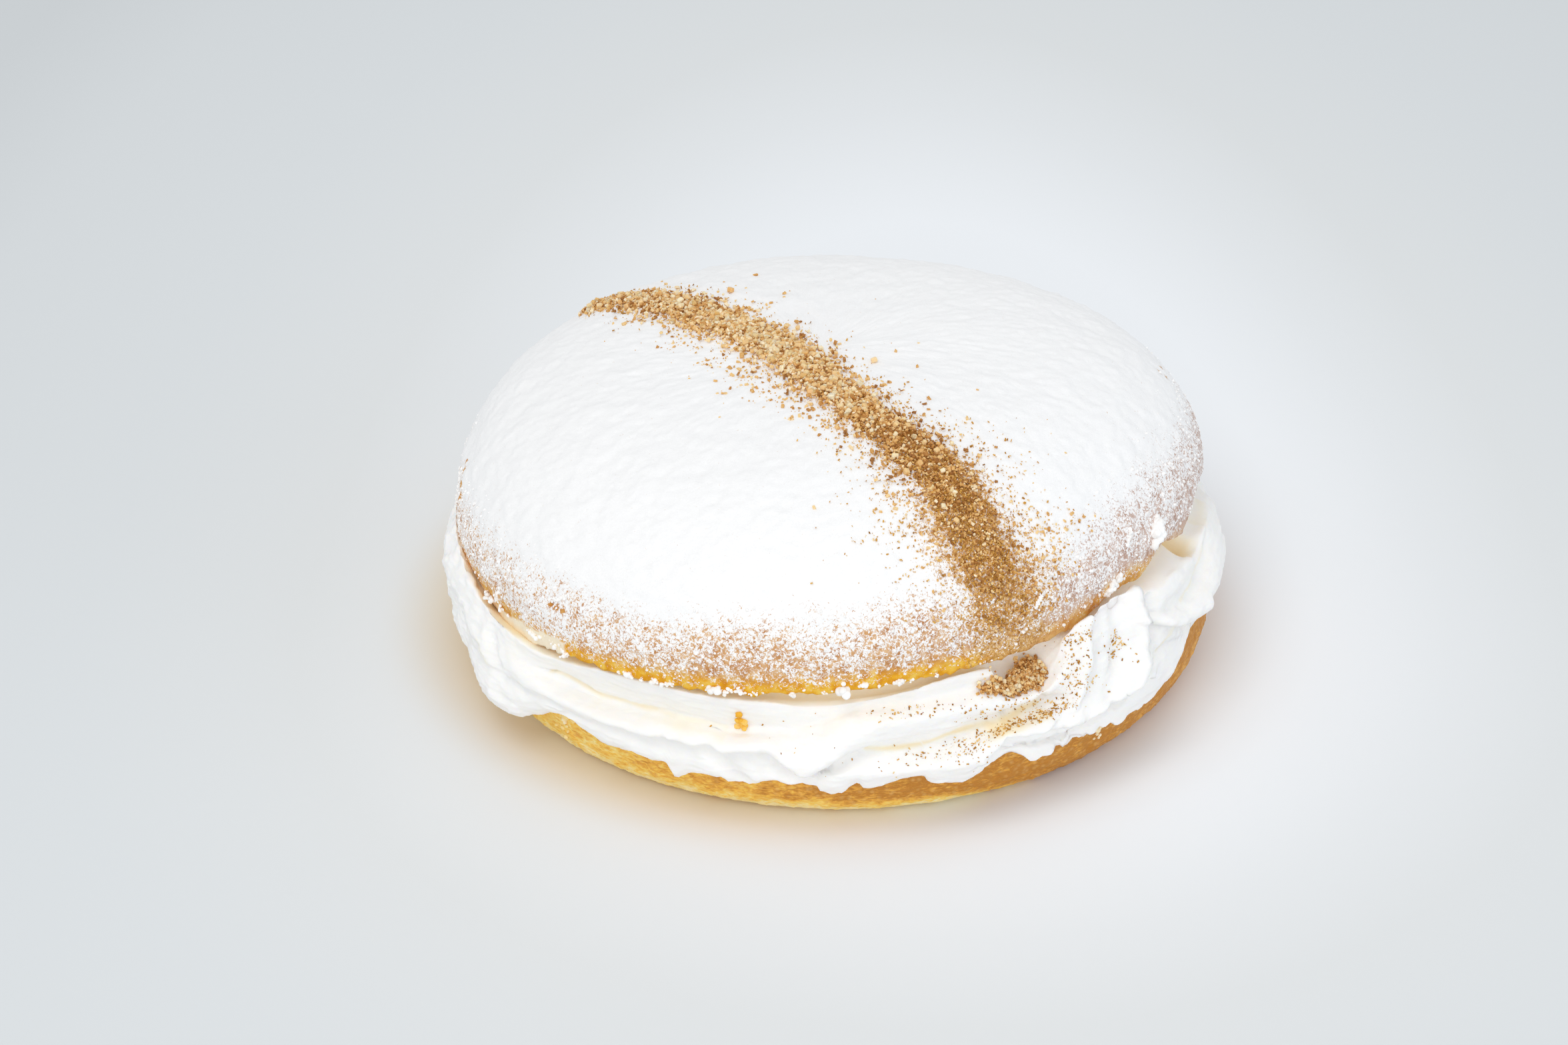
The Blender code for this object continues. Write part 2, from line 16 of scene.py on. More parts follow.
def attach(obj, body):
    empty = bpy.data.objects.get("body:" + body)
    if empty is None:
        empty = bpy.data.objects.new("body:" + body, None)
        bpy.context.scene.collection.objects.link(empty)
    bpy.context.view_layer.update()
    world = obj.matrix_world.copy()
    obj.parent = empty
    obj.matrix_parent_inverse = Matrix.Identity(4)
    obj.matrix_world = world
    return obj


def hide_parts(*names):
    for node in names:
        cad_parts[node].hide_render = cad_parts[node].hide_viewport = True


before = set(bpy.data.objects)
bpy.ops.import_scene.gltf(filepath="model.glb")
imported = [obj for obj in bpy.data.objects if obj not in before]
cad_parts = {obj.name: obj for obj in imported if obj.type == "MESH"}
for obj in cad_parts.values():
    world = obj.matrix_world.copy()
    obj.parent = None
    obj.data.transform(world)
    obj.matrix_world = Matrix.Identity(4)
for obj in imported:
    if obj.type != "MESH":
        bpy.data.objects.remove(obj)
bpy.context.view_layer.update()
bpy.ops.object.select_all(action="DESELECT")

# ------------------------------------------------------------------------------------------------
# The counter and the light: a pale laminate counter in a white light tent, so that light comes
# from all round, a little more of it from the front left.  The counter's colour has painted light
# in it: a painted fall-off that darkens it away from the bun, a painted warm bounce from the crust
# close to the bun, and a painted soft shadow at the front right.
COUNTER_SIZE = 3.0  # metres
COUNTER_LIGHT_FALLOFF = (  # painted light fall-off: place out from the bun in metres, and colour there
    (0.055, "#F3F6FA"), (0.075, "#E8EBEE"), (0.092, "#E1E4E6"), (0.125, "#DCE0E3"),
    (0.165, "#D9DDE0"), (0.195, "#D2D6D9"))
COUNTER_BOUNCE_TINT = "#DDD2C0"  # painted warm bounce from the crust, close to it at the front and left
COUNTER_DIM = "#CED6DF"  # painted shadow of the bun, at the front right
RAMP_SCALE = 5.0  # a colour ramp's whole length is 0.2 m of counter


def linear(colour):
    """Turn an sRGB hex colour into the linear one that a shader takes."""
    parts = [int(colour[place:place + 2], 16) / 255 for place in (1, 3, 5)]
    return [c / 12.92 if c <= 0.04045 else ((c + 0.055) / 1.055) ** 2.4 for c in parts] + [1.0]


def plug(node, inputs):
    """Set a node's inputs; each is a value, or the socket or the node that feeds it."""
    for name, value in dict(inputs).items():
        if isinstance(value, bpy.types.Node):
            value = next(output for output in value.outputs if output.enabled)
        if isinstance(value, bpy.types.NodeSocket):
            node.id_data.links.new(value, node.inputs[name])
        else:
            node.inputs[name].default_value = value


def add_node(tree, kind, inputs=(), stops=(), **settings):
    """Add a node with its settings, what feeds it, and a colour ramp's places and colours."""
    node = tree.nodes.new("ShaderNode" + kind)
    for name, value in settings.items():
        setattr(node, name, value)
    plug(node, inputs)
    for index, (place, colour) in enumerate(stops):
        band = node.color_ramp.elements
        element = band[index] if index < len(band) else band.new(place)
        element.position = place
        element.color = linear(colour)
    return node


def blank_finish(name):
    """A material with its shader, ready for its pattern."""
    finish = bpy.data.materials.new(name)
    finish.use_nodes = True
    return finish, finish.node_tree, finish.node_tree.nodes["Principled BSDF"]


bpy.ops.mesh.primitive_plane_add(size=COUNTER_SIZE, location=(0, 0, -0.00005))
counter = bpy.context.object
counter.name = counter.data.name = "counter"
# Matt laminate, smooth and without gloss; its colour carries the painted light.
laminate, tree, shader = blank_finish("matt_laminate")
place = add_node(tree, "TexCoord").outputs["Object"]
across = add_node(tree, "SeparateXYZ", {"Vector": place}).outputs
# The painted light falls off more slowly towards the back than to the sides.
behind = add_node(tree, "Math", {0: across["Y"], 1: 0.45}, operation="MULTIPLY")
depth = add_node(tree, "Math", {0: across["Y"], 1: behind}, operation="MINIMUM")
brighter_side = add_node(tree, "Math", {0: across["X"], 1: -0.014}, operation="ADD")
spread = add_node(tree, "CombineXYZ", {"X": brighter_side, "Y": depth})
away = add_node(tree, "VectorMath", {0: spread}, operation="LENGTH")
fall = add_node(tree, "Math", {0: away, 1: RAMP_SCALE}, operation="MULTIPLY")
sheet = add_node(tree, "ValToRGB", {"Fac": fall}, [
    (place_at * RAMP_SCALE, colour) for place_at, colour in COUNTER_LIGHT_FALLOFF])
centred = add_node(tree, "VectorMath", {0: place, 1: (0.009, -0.002, 0.0)}, operation="ADD")
from_crust = add_node(tree, "VectorMath", {0: centred}, operation="LENGTH")
rounded = add_node(tree, "VectorMath", {0: place, 1: (0.95, 1.0, 0.0)}, operation="MULTIPLY")
from_foot = add_node(tree, "VectorMath", {0: rounded}, operation="LENGTH")
# Where the painted bounce and the painted shadow start and end, in metres, and how strong they
# are at both places.
near, lit, dim, unlit, in_front = [
    add_node(tree, "MapRange", {"Value": measure, "From Min": start, "From Max": end,
                                "To Min": first, "To Max": last}, interpolation_type=easing)
    for measure, start, end, first, last, easing in (
        (from_crust, 0.044, 0.060, 0.8, 0.0, "SMOOTHERSTEP"),
        (across["X"], -0.01, 0.035, 1.0, 0.0, "SMOOTHSTEP"),
        (from_foot, 0.049, 0.058, 0.45, 0.0, "SMOOTHERSTEP"),
        (across["X"], -0.002, 0.024, 0.0, 1.0, "SMOOTHSTEP"),
        (across["Y"], -0.042, -0.016, 1.0, 0.0, "SMOOTHSTEP"))]
painted_bounce = add_node(tree, "Math", {0: near, 1: lit}, operation="MULTIPLY")
shadow = add_node(tree, "Math", {0: dim, 1: unlit}, operation="MULTIPLY")
shadow = add_node(tree, "Math", {0: shadow, 1: in_front}, operation="MULTIPLY")
for share, colour in ((painted_bounce, COUNTER_BOUNCE_TINT), (shadow, COUNTER_DIM)):
    sheet = add_node(tree, "Mix", {0: share, 6: sheet, 7: linear(colour)}, data_type="RGBA")
plug(shader, {"Base Color": sheet, "Roughness": 0.9, "Specular IOR Level": 0.1})
counter.data.materials.append(laminate)

shot = bpy.context.scene
shot.world = bpy.data.worlds.new("light_tent")
shot.world.use_nodes = True
plug(shot.world.node_tree.nodes["Background"], {"Color": linear("#F9FBFC"), "Strength": 0.79})


def softbox(name, place, target, size, power, colour):
    """A large square lamp behind diffusing cloth, aimed at a point."""
    lamp = bpy.data.lights.new(name, "AREA")
    lamp.size = size
    lamp.energy = power
    lamp.color = linear(colour)[:3]
    holder = bpy.data.objects.new(name, lamp)
    holder.location = place
    holder.rotation_euler = (Vector(target) - Vector(place)).to_track_quat("-Z", "Y").to_euler()
    shot.collection.objects.link(holder)


softbox("key_softbox", (-0.25, -0.50, 1.00), (0, 0, 0.02), 0.6, 2.9, "#FFFCF8")
softbox("fill_softbox", (-0.12, -0.84, 0.22), (0, 0, 0.01), 0.5, 1.10, "#FFFCF8")
softbox("side_softbox", (0.80, -0.40, 0.26), (0, 0, 0.01), 0.6, 0.90, "#E8F2FF")

camera = bpy.data.objects.new("camera", bpy.data.cameras.new("camera"))
camera.location = (0.0, -0.413344, 0.281330)
camera.rotation_euler = (0.999160, 0.008917, 0.013101)
camera.data.lens = 78.612
camera.data.clip_start = 0.01
shot.collection.objects.link(camera)
shot.camera = camera
shot.view_settings.view_transform = "Standard"
shot.cycles.use_denoising = True
# White cream and sugar pass light on many times before it dies away in their hollows.
shot.cycles.max_bounces = 20
shot.cycles.diffuse_bounces = 16

# ------------------------------------------------------------------------------------------------
# The bottom half of the bun: soft yeast dough, proved round and baked on a tray, which left its
# foot flat and pale.  The side is browned, blistered and finely wrinkled.  It carries the rest.
MM = 0.001
UP = np.array([0.0, 0.0, 1.0])
BASE_WIDTH = 106.3
BASE_DEPTH = 101.0
BASE_HEIGHT = 12.0
BASE_BELLY_HEIGHT = 7.2
BASE_FOOT_INSET = 4.2
BASE_CUT_INSET = 1.0
BASE_COLUMNS = 720
BASE_FOOT_ROWS = 34  # up to the belly
BASE_CUT_ROWS = 22  # from there up to the cut
RELIEF_STEPS = 20  # levels of a vertex group
WRINKLE = 2.6  # spacing of the wrinkles in the skin
BLISTER = 1.0  # spacing of the small blisters


def direction(azimuth):
    """Unit vectors in plan for azimuths in degrees."""
    angle = np.radians(azimuth)
    return np.stack([np.sin(angle), -np.cos(angle), np.zeros_like(angle)], -1)


def turned(azimuth, centre):
    """Signed difference of two azimuths, within half a turn."""
    return (azimuth - centre + 180.0) % 360.0 - 180.0


def hump(distance, half_width):
    """A smooth hump: 1 at the centre and 0 from half_width outwards."""
    return 0.5 + 0.5 * np.cos(np.pi * np.clip(np.abs(distance) / half_width, 0.0, 1.0))


def smooth_step(value, low, high):
    """0 below low and 1 above high, with a smooth rise between them."""
    part = np.clip((value - low) / (high - low), 0.0, 1.0)
    return part * part * (3 - 2 * part)


def azimuth_of(points):
    """Azimuths of points round the bun."""
    return np.degrees(np.arctan2(points[:, 0], -points[:, 1]))


def waviness(points, scale, shift=(0.0, 0.0, 0.0)):
    """Soft noise between about -1 and 1 at each point; scale is in waves per millimetre."""
    flat = points.reshape(-1, 3) * scale + np.array(shift)
    read = np.fromiter((noise.noise(spot) for spot in flat.tolist()), float, len(flat))
    return read.reshape(points.shape[:-1])


def base_radius(azimuth):
    """The bottom half's belly: an ellipse in plan, a little uneven as baked."""
    heading = direction(azimuth)
    ellipse = 1.0 / np.hypot(heading[..., 0] * 2 / BASE_WIDTH, heading[..., 1] * 2 / BASE_DEPTH)
    return ellipse + 0.35 * waviness(heading, 2.2, (7.0, 0.0, 0.0))


def vectors_of(piece, kind):
    """The place ("co") or the normal of each of a piece's points."""
    values = np.empty(len(piece.data.vertices) * 3)
    piece.data.vertices.foreach_get(kind, values)
    return values.reshape(-1, 3)


def moulded_round(name, rings, bottom, top):
    """Roll a grid up into a closed round whose rings, lowest first, are the piece's sections."""
    rows, columns = rings.shape[:2]
    bpy.ops.object.select_all(action="DESELECT")
    bpy.ops.mesh.primitive_grid_add(x_subdivisions=columns, y_subdivisions=rows + 1, size=2.0)
    piece = bpy.context.object
    piece.name = piece.data.name = name
    flat = vectors_of(piece, "co")
    row = np.rint((flat[:, 1] + 1) / 2 * (rows + 1)).astype(int)
    column = np.rint((flat[:, 0] + 1) / 2 * columns).astype(int) % columns
    ends = [np.broadcast_to(np.array(end, float), (1, columns, 3)) for end in (bottom, top)]
    stack = np.concatenate([ends[0], rings, ends[1]])
    piece.data.vertices.foreach_set("co", (stack[row, column] * MM).ravel())
    layer = piece.data.attributes.new("row", "INT", "POINT")
    layer.data.foreach_set("value", row.astype(np.int32))
    bpy.ops.object.mode_set(mode="EDIT")
    bpy.ops.mesh.select_all(action="SELECT")
    bpy.ops.mesh.remove_doubles(threshold=1e-7)
    bpy.ops.object.mode_set(mode="OBJECT")
    row = np.empty(len(piece.data.vertices), np.int32)
    piece.data.attributes["row"].data.foreach_get("value", row)
    piece.data.attributes.remove(piece.data.attributes["row"])
    for layer in list(piece.data.uv_layers):
        piece.data.uv_layers.remove(layer)
    piece.data.shade_smooth()
    return piece, row


def relief(piece, kind, spacing, height, weights):
    """Raise or sink a piece's skin by a cloudy or blistered pattern, and apply it."""
    pattern = bpy.data.textures.new("relief", kind)
    pattern.noise_scale = spacing * MM
    modifier = piece.modifiers.new("relief", "DISPLACE")
    modifier.texture = pattern
    modifier.texture_coords = "LOCAL"
    modifier.strength = height * MM
    modifier.mid_level = 0.5
    group = piece.vertex_groups.new(name="relief")
    steps = np.rint(weights * RELIEF_STEPS).astype(int)
    for level in range(1, RELIEF_STEPS + 1):
        group.add(np.nonzero(steps == level)[0].tolist(), level / RELIEF_STEPS, "REPLACE")
    modifier.vertex_group = group.name
    bpy.context.view_layer.objects.active = piece
    bpy.ops.object.modifier_apply(modifier=modifier.name)
    piece.vertex_groups.clear()


def paint(piece, name, values):
    """Store one number for each point, for the piece's material to read."""
    layer = piece.data.attributes.new(name, "FLOAT", "POINT")
    layer.data.foreach_set("value", np.asarray(values, np.float32))


def uneven(tree, level, pattern, strength):
    """A level made uneven by a pattern that runs from 0 to 1."""
    centred = add_node(tree, "Math", {0: pattern, 1: -0.5}, operation="ADD")
    return add_node(tree, "Math", {0: centred, 1: strength, 2: level}, operation="MULTIPLY_ADD")


columns = 360.0 * np.arange(BASE_COLUMNS) / BASE_COLUMNS
heading = direction(columns)
belly = base_radius(columns)
foot_steps = np.linspace(0.0, 1.0, BASE_FOOT_ROWS)
cut_steps = np.linspace(0.0, 1.0, BASE_CUT_ROWS + 1)[1:]
inset = np.concatenate([BASE_FOOT_INSET * (1 - np.sqrt(1 - (1 - foot_steps) ** 2)),
                        BASE_CUT_INSET * cut_steps ** 2])
height = np.concatenate([BASE_BELLY_HEIGHT * foot_steps,
                         BASE_BELLY_HEIGHT + (BASE_HEIGHT - BASE_BELLY_HEIGHT) * cut_steps])
rings = heading[None] * (belly[None] - inset[:, None])[..., None] + UP * height[:, None, None]
inner = [heading * (belly - BASE_FOOT_INSET)[:, None] * share for share in (0.5, 0.9, 0.98)]
cut = [heading * (belly - BASE_CUT_INSET)[:, None] * share + UP * BASE_HEIGHT
       for share in (0.98, 0.9, 0.5)]
base, row = moulded_round("bun_bottom_crust", np.concatenate([inner, rings, cut]),
                          (0, 0, 0), (0, 0, BASE_HEIGHT))
spots = vectors_of(base, "co") / MM
side = smooth_step(spots[:, 2], 0.05, 1.4) * (1 - smooth_step(spots[:, 2], 11.0, BASE_HEIGHT))
relief(base, "CLOUDS", WRINKLE, 0.55, side)
relief(base, "VORONOI", BLISTER, -0.30, side)
relief(base, "CLOUDS", 0.7, 0.16, side)
spots = vectors_of(base, "co") / MM
azimuth = azimuth_of(spots)
# How far it is browned: pale where it stood on the tray, and browner down to it on the right.
# This is partly painted light: the left is painted paler and the right browner, as the light
# falls from the front left.
left_of_back = 1 - smooth_step(azimuth, 120, 178)
right = smooth_step(azimuth, 12.0, 42.0) * left_of_back
browning_and_side_light = (smooth_step(spots[:, 2] + 0.9 * waviness(spots, 0.22) + 3.2 * right, 0.4, 4.2)
           * (0.40 + 0.60 * smooth_step(azimuth, -48.0, 22.0) * left_of_back))
paint(base, "browning_and_side_light", browning_and_side_light)

# Baked crust of enriched dough: egg and sugar browned in the oven, from pale yellow at the foot
# to golden orange and brown; thin-skinned blisters are paler.  Dull, with a faint fat sheen.
crust, tree, shader = blank_finish("baked_crust")
place = add_node(tree, "TexCoord").outputs["Object"]
# The level read here is the browning with painted side light in it.
level = add_node(tree, "Attribute", attribute_name="browning_and_side_light").outputs["Fac"]
flattened = add_node(tree, "Mapping", {"Vector": place, "Scale": (1.0, 1.0, 2.8)})
patches = add_node(tree, "TexNoise", {  # browning in patches of about 3 mm
    "Vector": place, "Scale": 330.0, "Detail": 3.0})
streaks = add_node(tree, "TexNoise", {  # stretched skin, streaks of 0.6 mm
    "Vector": flattened, "Scale": 950.0, "Detail": 3.0, "Roughness": 0.6, "Distortion": 0.6})
blisters = add_node(tree, "TexVoronoi", {  # blisters 1 mm apart
    "Vector": place, "Scale": 1000.0, "Randomness": 1.0})
level = uneven(tree, uneven(tree, level, patches, 0.9), streaks, 1.5)
tone = add_node(tree, "ValToRGB", {"Fac": level}, (
    (0.0, "#FDECB4"), (0.22, "#FCDF84"), (0.46, "#F9CA58"), (0.68, "#E9AB46"), (0.98, "#C4832C")))
blistered = add_node(tree, "MapRange", {
    "Value": blisters, "From Min": 0.1, "From Max": 0.42, "To Min": 0.30, "To Max": 0.0})
skin = add_node(tree, "Mix", {0: blistered, 6: tone, 7: linear("#F4CE84")}, data_type="RGBA")
rough_skin = add_node(tree, "Bump", {"Height": streaks, "Strength": 0.7, "Distance": 0.0003})
plug(shader, {"Base Color": skin, "Normal": rough_skin, "Roughness": 0.5,
              "Specular IOR Level": 0.35, "Subsurface Weight": 0.15,
              "Subsurface Radius": (1.0, 0.5, 0.2), "Subsurface Scale": 0.001})
base.data.materials.append(crust)
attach(base, "root")
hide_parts("bun_bottom")

# ------------------------------------------------------------------------------------------------
# The whipped cream: sweetened cream whipped firm and spread on thickly, so that it bulges out
# between the halves in soft rolls, folds over itself at the right and hangs over the bottom half.
TOP_CENTRE = np.array([-2.1, -0.1, 20.7])
TOP_TILT_FRONT = 2.64  # degrees by which the top half's front is lifted
TOP_TILT_RIGHT = 2.69
CREVICE = (  # the floor of the gap under the top half's edge
    (-180, 50.2, 15.8), (-120, 52.0, 15.6), (-90, 53.3, 17.8), (-76, 53.7, 18.8),
    (-60, 52.7, 17.0), (-41, 51.6, 19.4), (-22, 51.4, 20.9), (-4, 50.6, 20.8),
    (8, 50.0, 20.8), (14, 49.4, 21.2), (22, 48.8, 21.6), (26, 47.5, 19.4), (31, 47.6, 19.2),
    (36, 50.4, 22.9), (51, 50.6, 23.4), (57, 50.4, 23.4), (64, 50.4, 23.0), (68, 50.2, 22.0),
    (71.2, 47.8, 18.0), (74, 50.2, 21.8), (82, 50.8, 21.8), (105, 50.6, 18.2), (150, 50.2, 16.8))
SHOULDER = (  # the upper lip, close to the top half's edge
    (-180, 52.8, 17.2), (-150, 54.2, 16.2), (-120, 54.2, 16.2), (-98, 54.3, 17.0),
    (-89, 54.2, 19.2), (-82, 54.5, 20.5), (-75, 54.7, 20.5), (-66, 54.9, 19.3), (-50, 55.2, 18.8),
    (-41, 54.3, 19.4), (-36, 54.0, 20.5), (-20, 53.9, 21.5), (-11, 53.2, 21.4), (-4, 52.5, 20.8),
    (9, 51.5, 22.0), (19, 50.7, 23.0), (23, 50.5, 22.6), (26, 50.8, 18.6), (31, 51.0, 18.4),
    (36, 51.3, 24.6), (41, 51.4, 26.8), (50, 51.3, 26.4), (53.5, 51.7, 23.0), (59, 51.9, 23.0),
    (65, 51.8, 22.6), (68.6, 51.8, 21.8), (70.4, 51.6, 20.8), (72.6, 51.8, 20.8),
    (75.4, 52.3, 22.2), (86, 52.4, 20.8), (95, 51.7, 18.8), (120, 51.8, 18.0), (150, 52.2, 17.6))
LEDGE_FOOT = (  # where the shaded ledge below the lip meets the roll
    (-180, 53.4, 16.2), (-150, 54.8, 15.2), (-120, 54.8, 15.2), (-98, 54.8, 16.2),
    (-82, 55.7, 18.8), (-75, 56.0, 18.6), (-66, 55.9, 17.3), (-52, 55.6, 17.0),
    (-41, 53.2, 14.8), (-25, 53.0, 16.3), (-14, 53.1, 16.0), (-5, 53.4, 18.2),
    (4, 52.3, 20.2), (14, 51.6, 20.3), (23, 51.1, 20.4), (26, 51.8, 18.2),
    (31, 52.0, 18.0), (36, 51.8, 23.2), (41, 51.8, 25.0), (51, 51.8, 24.6),
    (56, 52.3, 21.4), (62, 52.9, 19.6), (68, 53.0, 19.2), (76, 53.4, 20.4), (88, 53.4, 19.2),
    (98, 52.8, 17.4), (120, 52.6, 16.8), (150, 52.8, 16.6))
ROLL = (  # the crest of the upper roll
    (-180, 55.0, 14.0), (-150, 55.4, 13.4), (-120, 54.8, 13.4), (-98, 54.2, 14.4),
    (-85, 55.5, 15.8), (-77, 56.6, 15.2), (-68, 56.0, 14.2), (-60, 57.2, 13.4),
    (-50, 57.0, 14.0), (-41, 56.2, 14.4), (-16, 56.2, 14.7), (-11, 55.8, 16.0),
    (-4.8, 57.0, 13.0), (2, 55.2, 16.6), (8, 54.0, 18.4), (20, 53.2, 18.4),
    (29, 52.8, 17.3), (36, 53.4, 20.0), (41, 53.2, 20.6), (46, 53.7, 20.4),
    (53, 53.4, 18.4), (60, 54.6, 17.2), (67, 55.5, 17.4), (74, 55.1, 17.4),
    (82, 54.6, 16.8), (92, 53.6, 15.6), (120, 53.6, 14.6), (150, 54.0, 14.2))
WAIST = (  # the fold under that roll
    (-180, 54.6, 12.6), (-150, 55.2, 12.0), (-120, 54.8, 12.2), (-98, 54.6, 12.8),
    (-85, 55.3, 13.2), (-76, 56.3, 13.0), (-68, 55.8, 12.4), (-60, 57.0, 11.4),
    (-41, 55.4, 13.0), (-14, 55.1, 13.0), (-4.8, 54.8, 11.8), (2.3, 53.9, 13.8),
    (14, 52.6, 13.6), (23, 52.2, 16.0), (31, 52.3, 15.8), (36, 54.2, 17.6),
    (41, 54.2, 18.0), (46, 54.8, 17.8), (54, 53.9, 16.0), (62, 53.9, 15.0),
    (72, 54.6, 15.2), (83, 54.3, 14.6), (94, 53.6, 13.4), (120, 53.4, 12.8),
    (150, 53.8, 12.6))
SKIRT = (  # the crest of the lower roll
    (-180, 54.6, 11.2), (-150, 55.2, 10.6), (-120, 54.8, 10.8), (-98, 54.6, 11.2),
    (-85, 55.3, 11.2), (-76, 56.3, 10.8), (-68, 56.1, 10.4), (-58, 57.5, 9.4),
    (-52, 57.3, 9.8), (-46, 56.2, 11.4), (-36, 55.6, 11.4), (-4.8, 55.2, 10.8),
    (3, 55.6, 12.2), (19, 55.6, 12.6), (22, 55.2, 15.0), (32, 55.0, 14.4),
    (46, 55.7, 14.8), (54, 54.6, 13.4), (62, 54.1, 13.8), (72, 54.3, 14.0),
    (83, 54.2, 13.4), (94, 53.7, 12.2), (120, 53.6, 11.2), (150, 54.0, 11.0))
HEM_RADIUS = 54.2  # of its front
HEM_FRONT = (  # its torn front: azimuth and height
    (-40, 11.0), (-39.3, 10.0), (-37.2, 9.4), (-35.1, 8.6), (-31.9, 8.8), (-29.6, 9.4),
    (-27.1, 8.8), (-24.7, 9.2), (-24, 8.0), (-23.3, 7.0), (-22.2, 7.9), (-21.3, 8.5), (-19.3, 8.9),
    (-16.6, 8.8), (-15.3, 8.3), (-13.1, 8.3), (-10.9, 8.6), (-10.2, 9.4), (-9.2, 9.6), (-8, 9.2),
    (-6.9, 8.9), (-4.8, 9.2), (-3.1, 9.1), (-2.3, 8.0), (-1, 7.6), (0.4, 7.7), (1.6, 9.0),
    (2.8, 9.6), (3.5, 8.8), (4.3, 8.6), (5.7, 9.0), (7.8, 9.4), (9.3, 10.0), (11.7, 10.0),
    (12.6, 8.9), (13.8, 8.2), (15.4, 7.9), (17.5, 7.8), (19.8, 8.4), (20.8, 8.9), (22.4, 9.6),
    (24.3, 10.2), (26.2, 9.6), (27.3, 8.9), (28.4, 8.1), (30, 8.3), (31.6, 8.1), (32.5, 8.7),
    (34, 8.2), (35.6, 8.6), (37.3, 8.4), (38.9, 8.2), (40.6, 8.6), (42.2, 8.6), (43.6, 7.9),
    (45, 7.8), (46.6, 8.3), (48, 8.0), (49.9, 7.9), (53.8, 8.5), (58.6, 9.7))
HEM = (  # the lower edge, hanging over the bottom half
    (-180, 53.8, 8.4), (-171, 53.9, 7.2), (-163, 54.0, 8.6), (-158, 54.1, 7.0), (-152, 54.2, 8.2),
    (-140, 54.1, 8.4), (-134, 54.0, 7.2), (-126, 54.0, 8.4), (-98, 54.0, 8.2), (-84, 54.6, 7.8),
    (-76, 55.1, 7.4), (-66, 55.6, 6.8), (-56, 57.0, 6.0), (-52, 56.7, 6.4), (-48, 55.4, 8.0),
    (-44, 54.7, 10.3), *((azimuth, HEM_RADIUS, height) for azimuth, height in HEM_FRONT),
    (61.7, 54.3, 12.2), (64.5, 54.0, 13.0), (82, 53.8, 12.8), (96, 54.0, 10.0), (111, 54.0, 9.4),
    (118, 54.0, 8.0), (124, 54.0, 9.2), (134, 54.0, 8.9), (141, 54.0, 7.3), (147, 54.0, 8.5),
    (160, 53.9, 8.6), (171, 53.8, 7.3))
# Broad ridges (+) and hollows (-) across the lines: azimuth and height of one end and of the other,
# half width, rise.
FOLDS = (
    (40.2, 26, 38.0, 20.8, 2.4, 0.9), (38.0, 20.8, 34.6, 14.8, 2.4, 0.9),
    (45.6, 25, 43.8, 18, 2.6, -1.0), (43.8, 18, 40.8, 15, 2.4, -0.8),
    (49.4, 26, 49.4, 20, 2.2, 1.0), (49.4, 20, 46.6, 14, 2.2, 0.8),
    (54.2, 23.5, 53.0, 18, 2.0, -1.2), (53.0, 18, 51, 15.4, 1.6, -0.6),
    (70, 21.4, 57, 21.8, 1.8, 0.45),
    (84, 16, 66, 16.4, 2.2, 0.7), (66, 16.4, 56, 18.6, 1.8, 0.7),
    (-18, 14.5, -13.6, 9.8, 2.2, -0.8), (-9.6, 14.5, -5.5, 10.5, 2.0, -0.7),
    (-57.7, 16, -54.4, 12.5, 2.2, -0.6), (24, 12.6, 34, 10.8, 1.4, -0.5),
    (34, 10.8, 45, 12, 1.4, -0.4), (-48, 13.0, -30, 12.0, 1.8, 0.4))
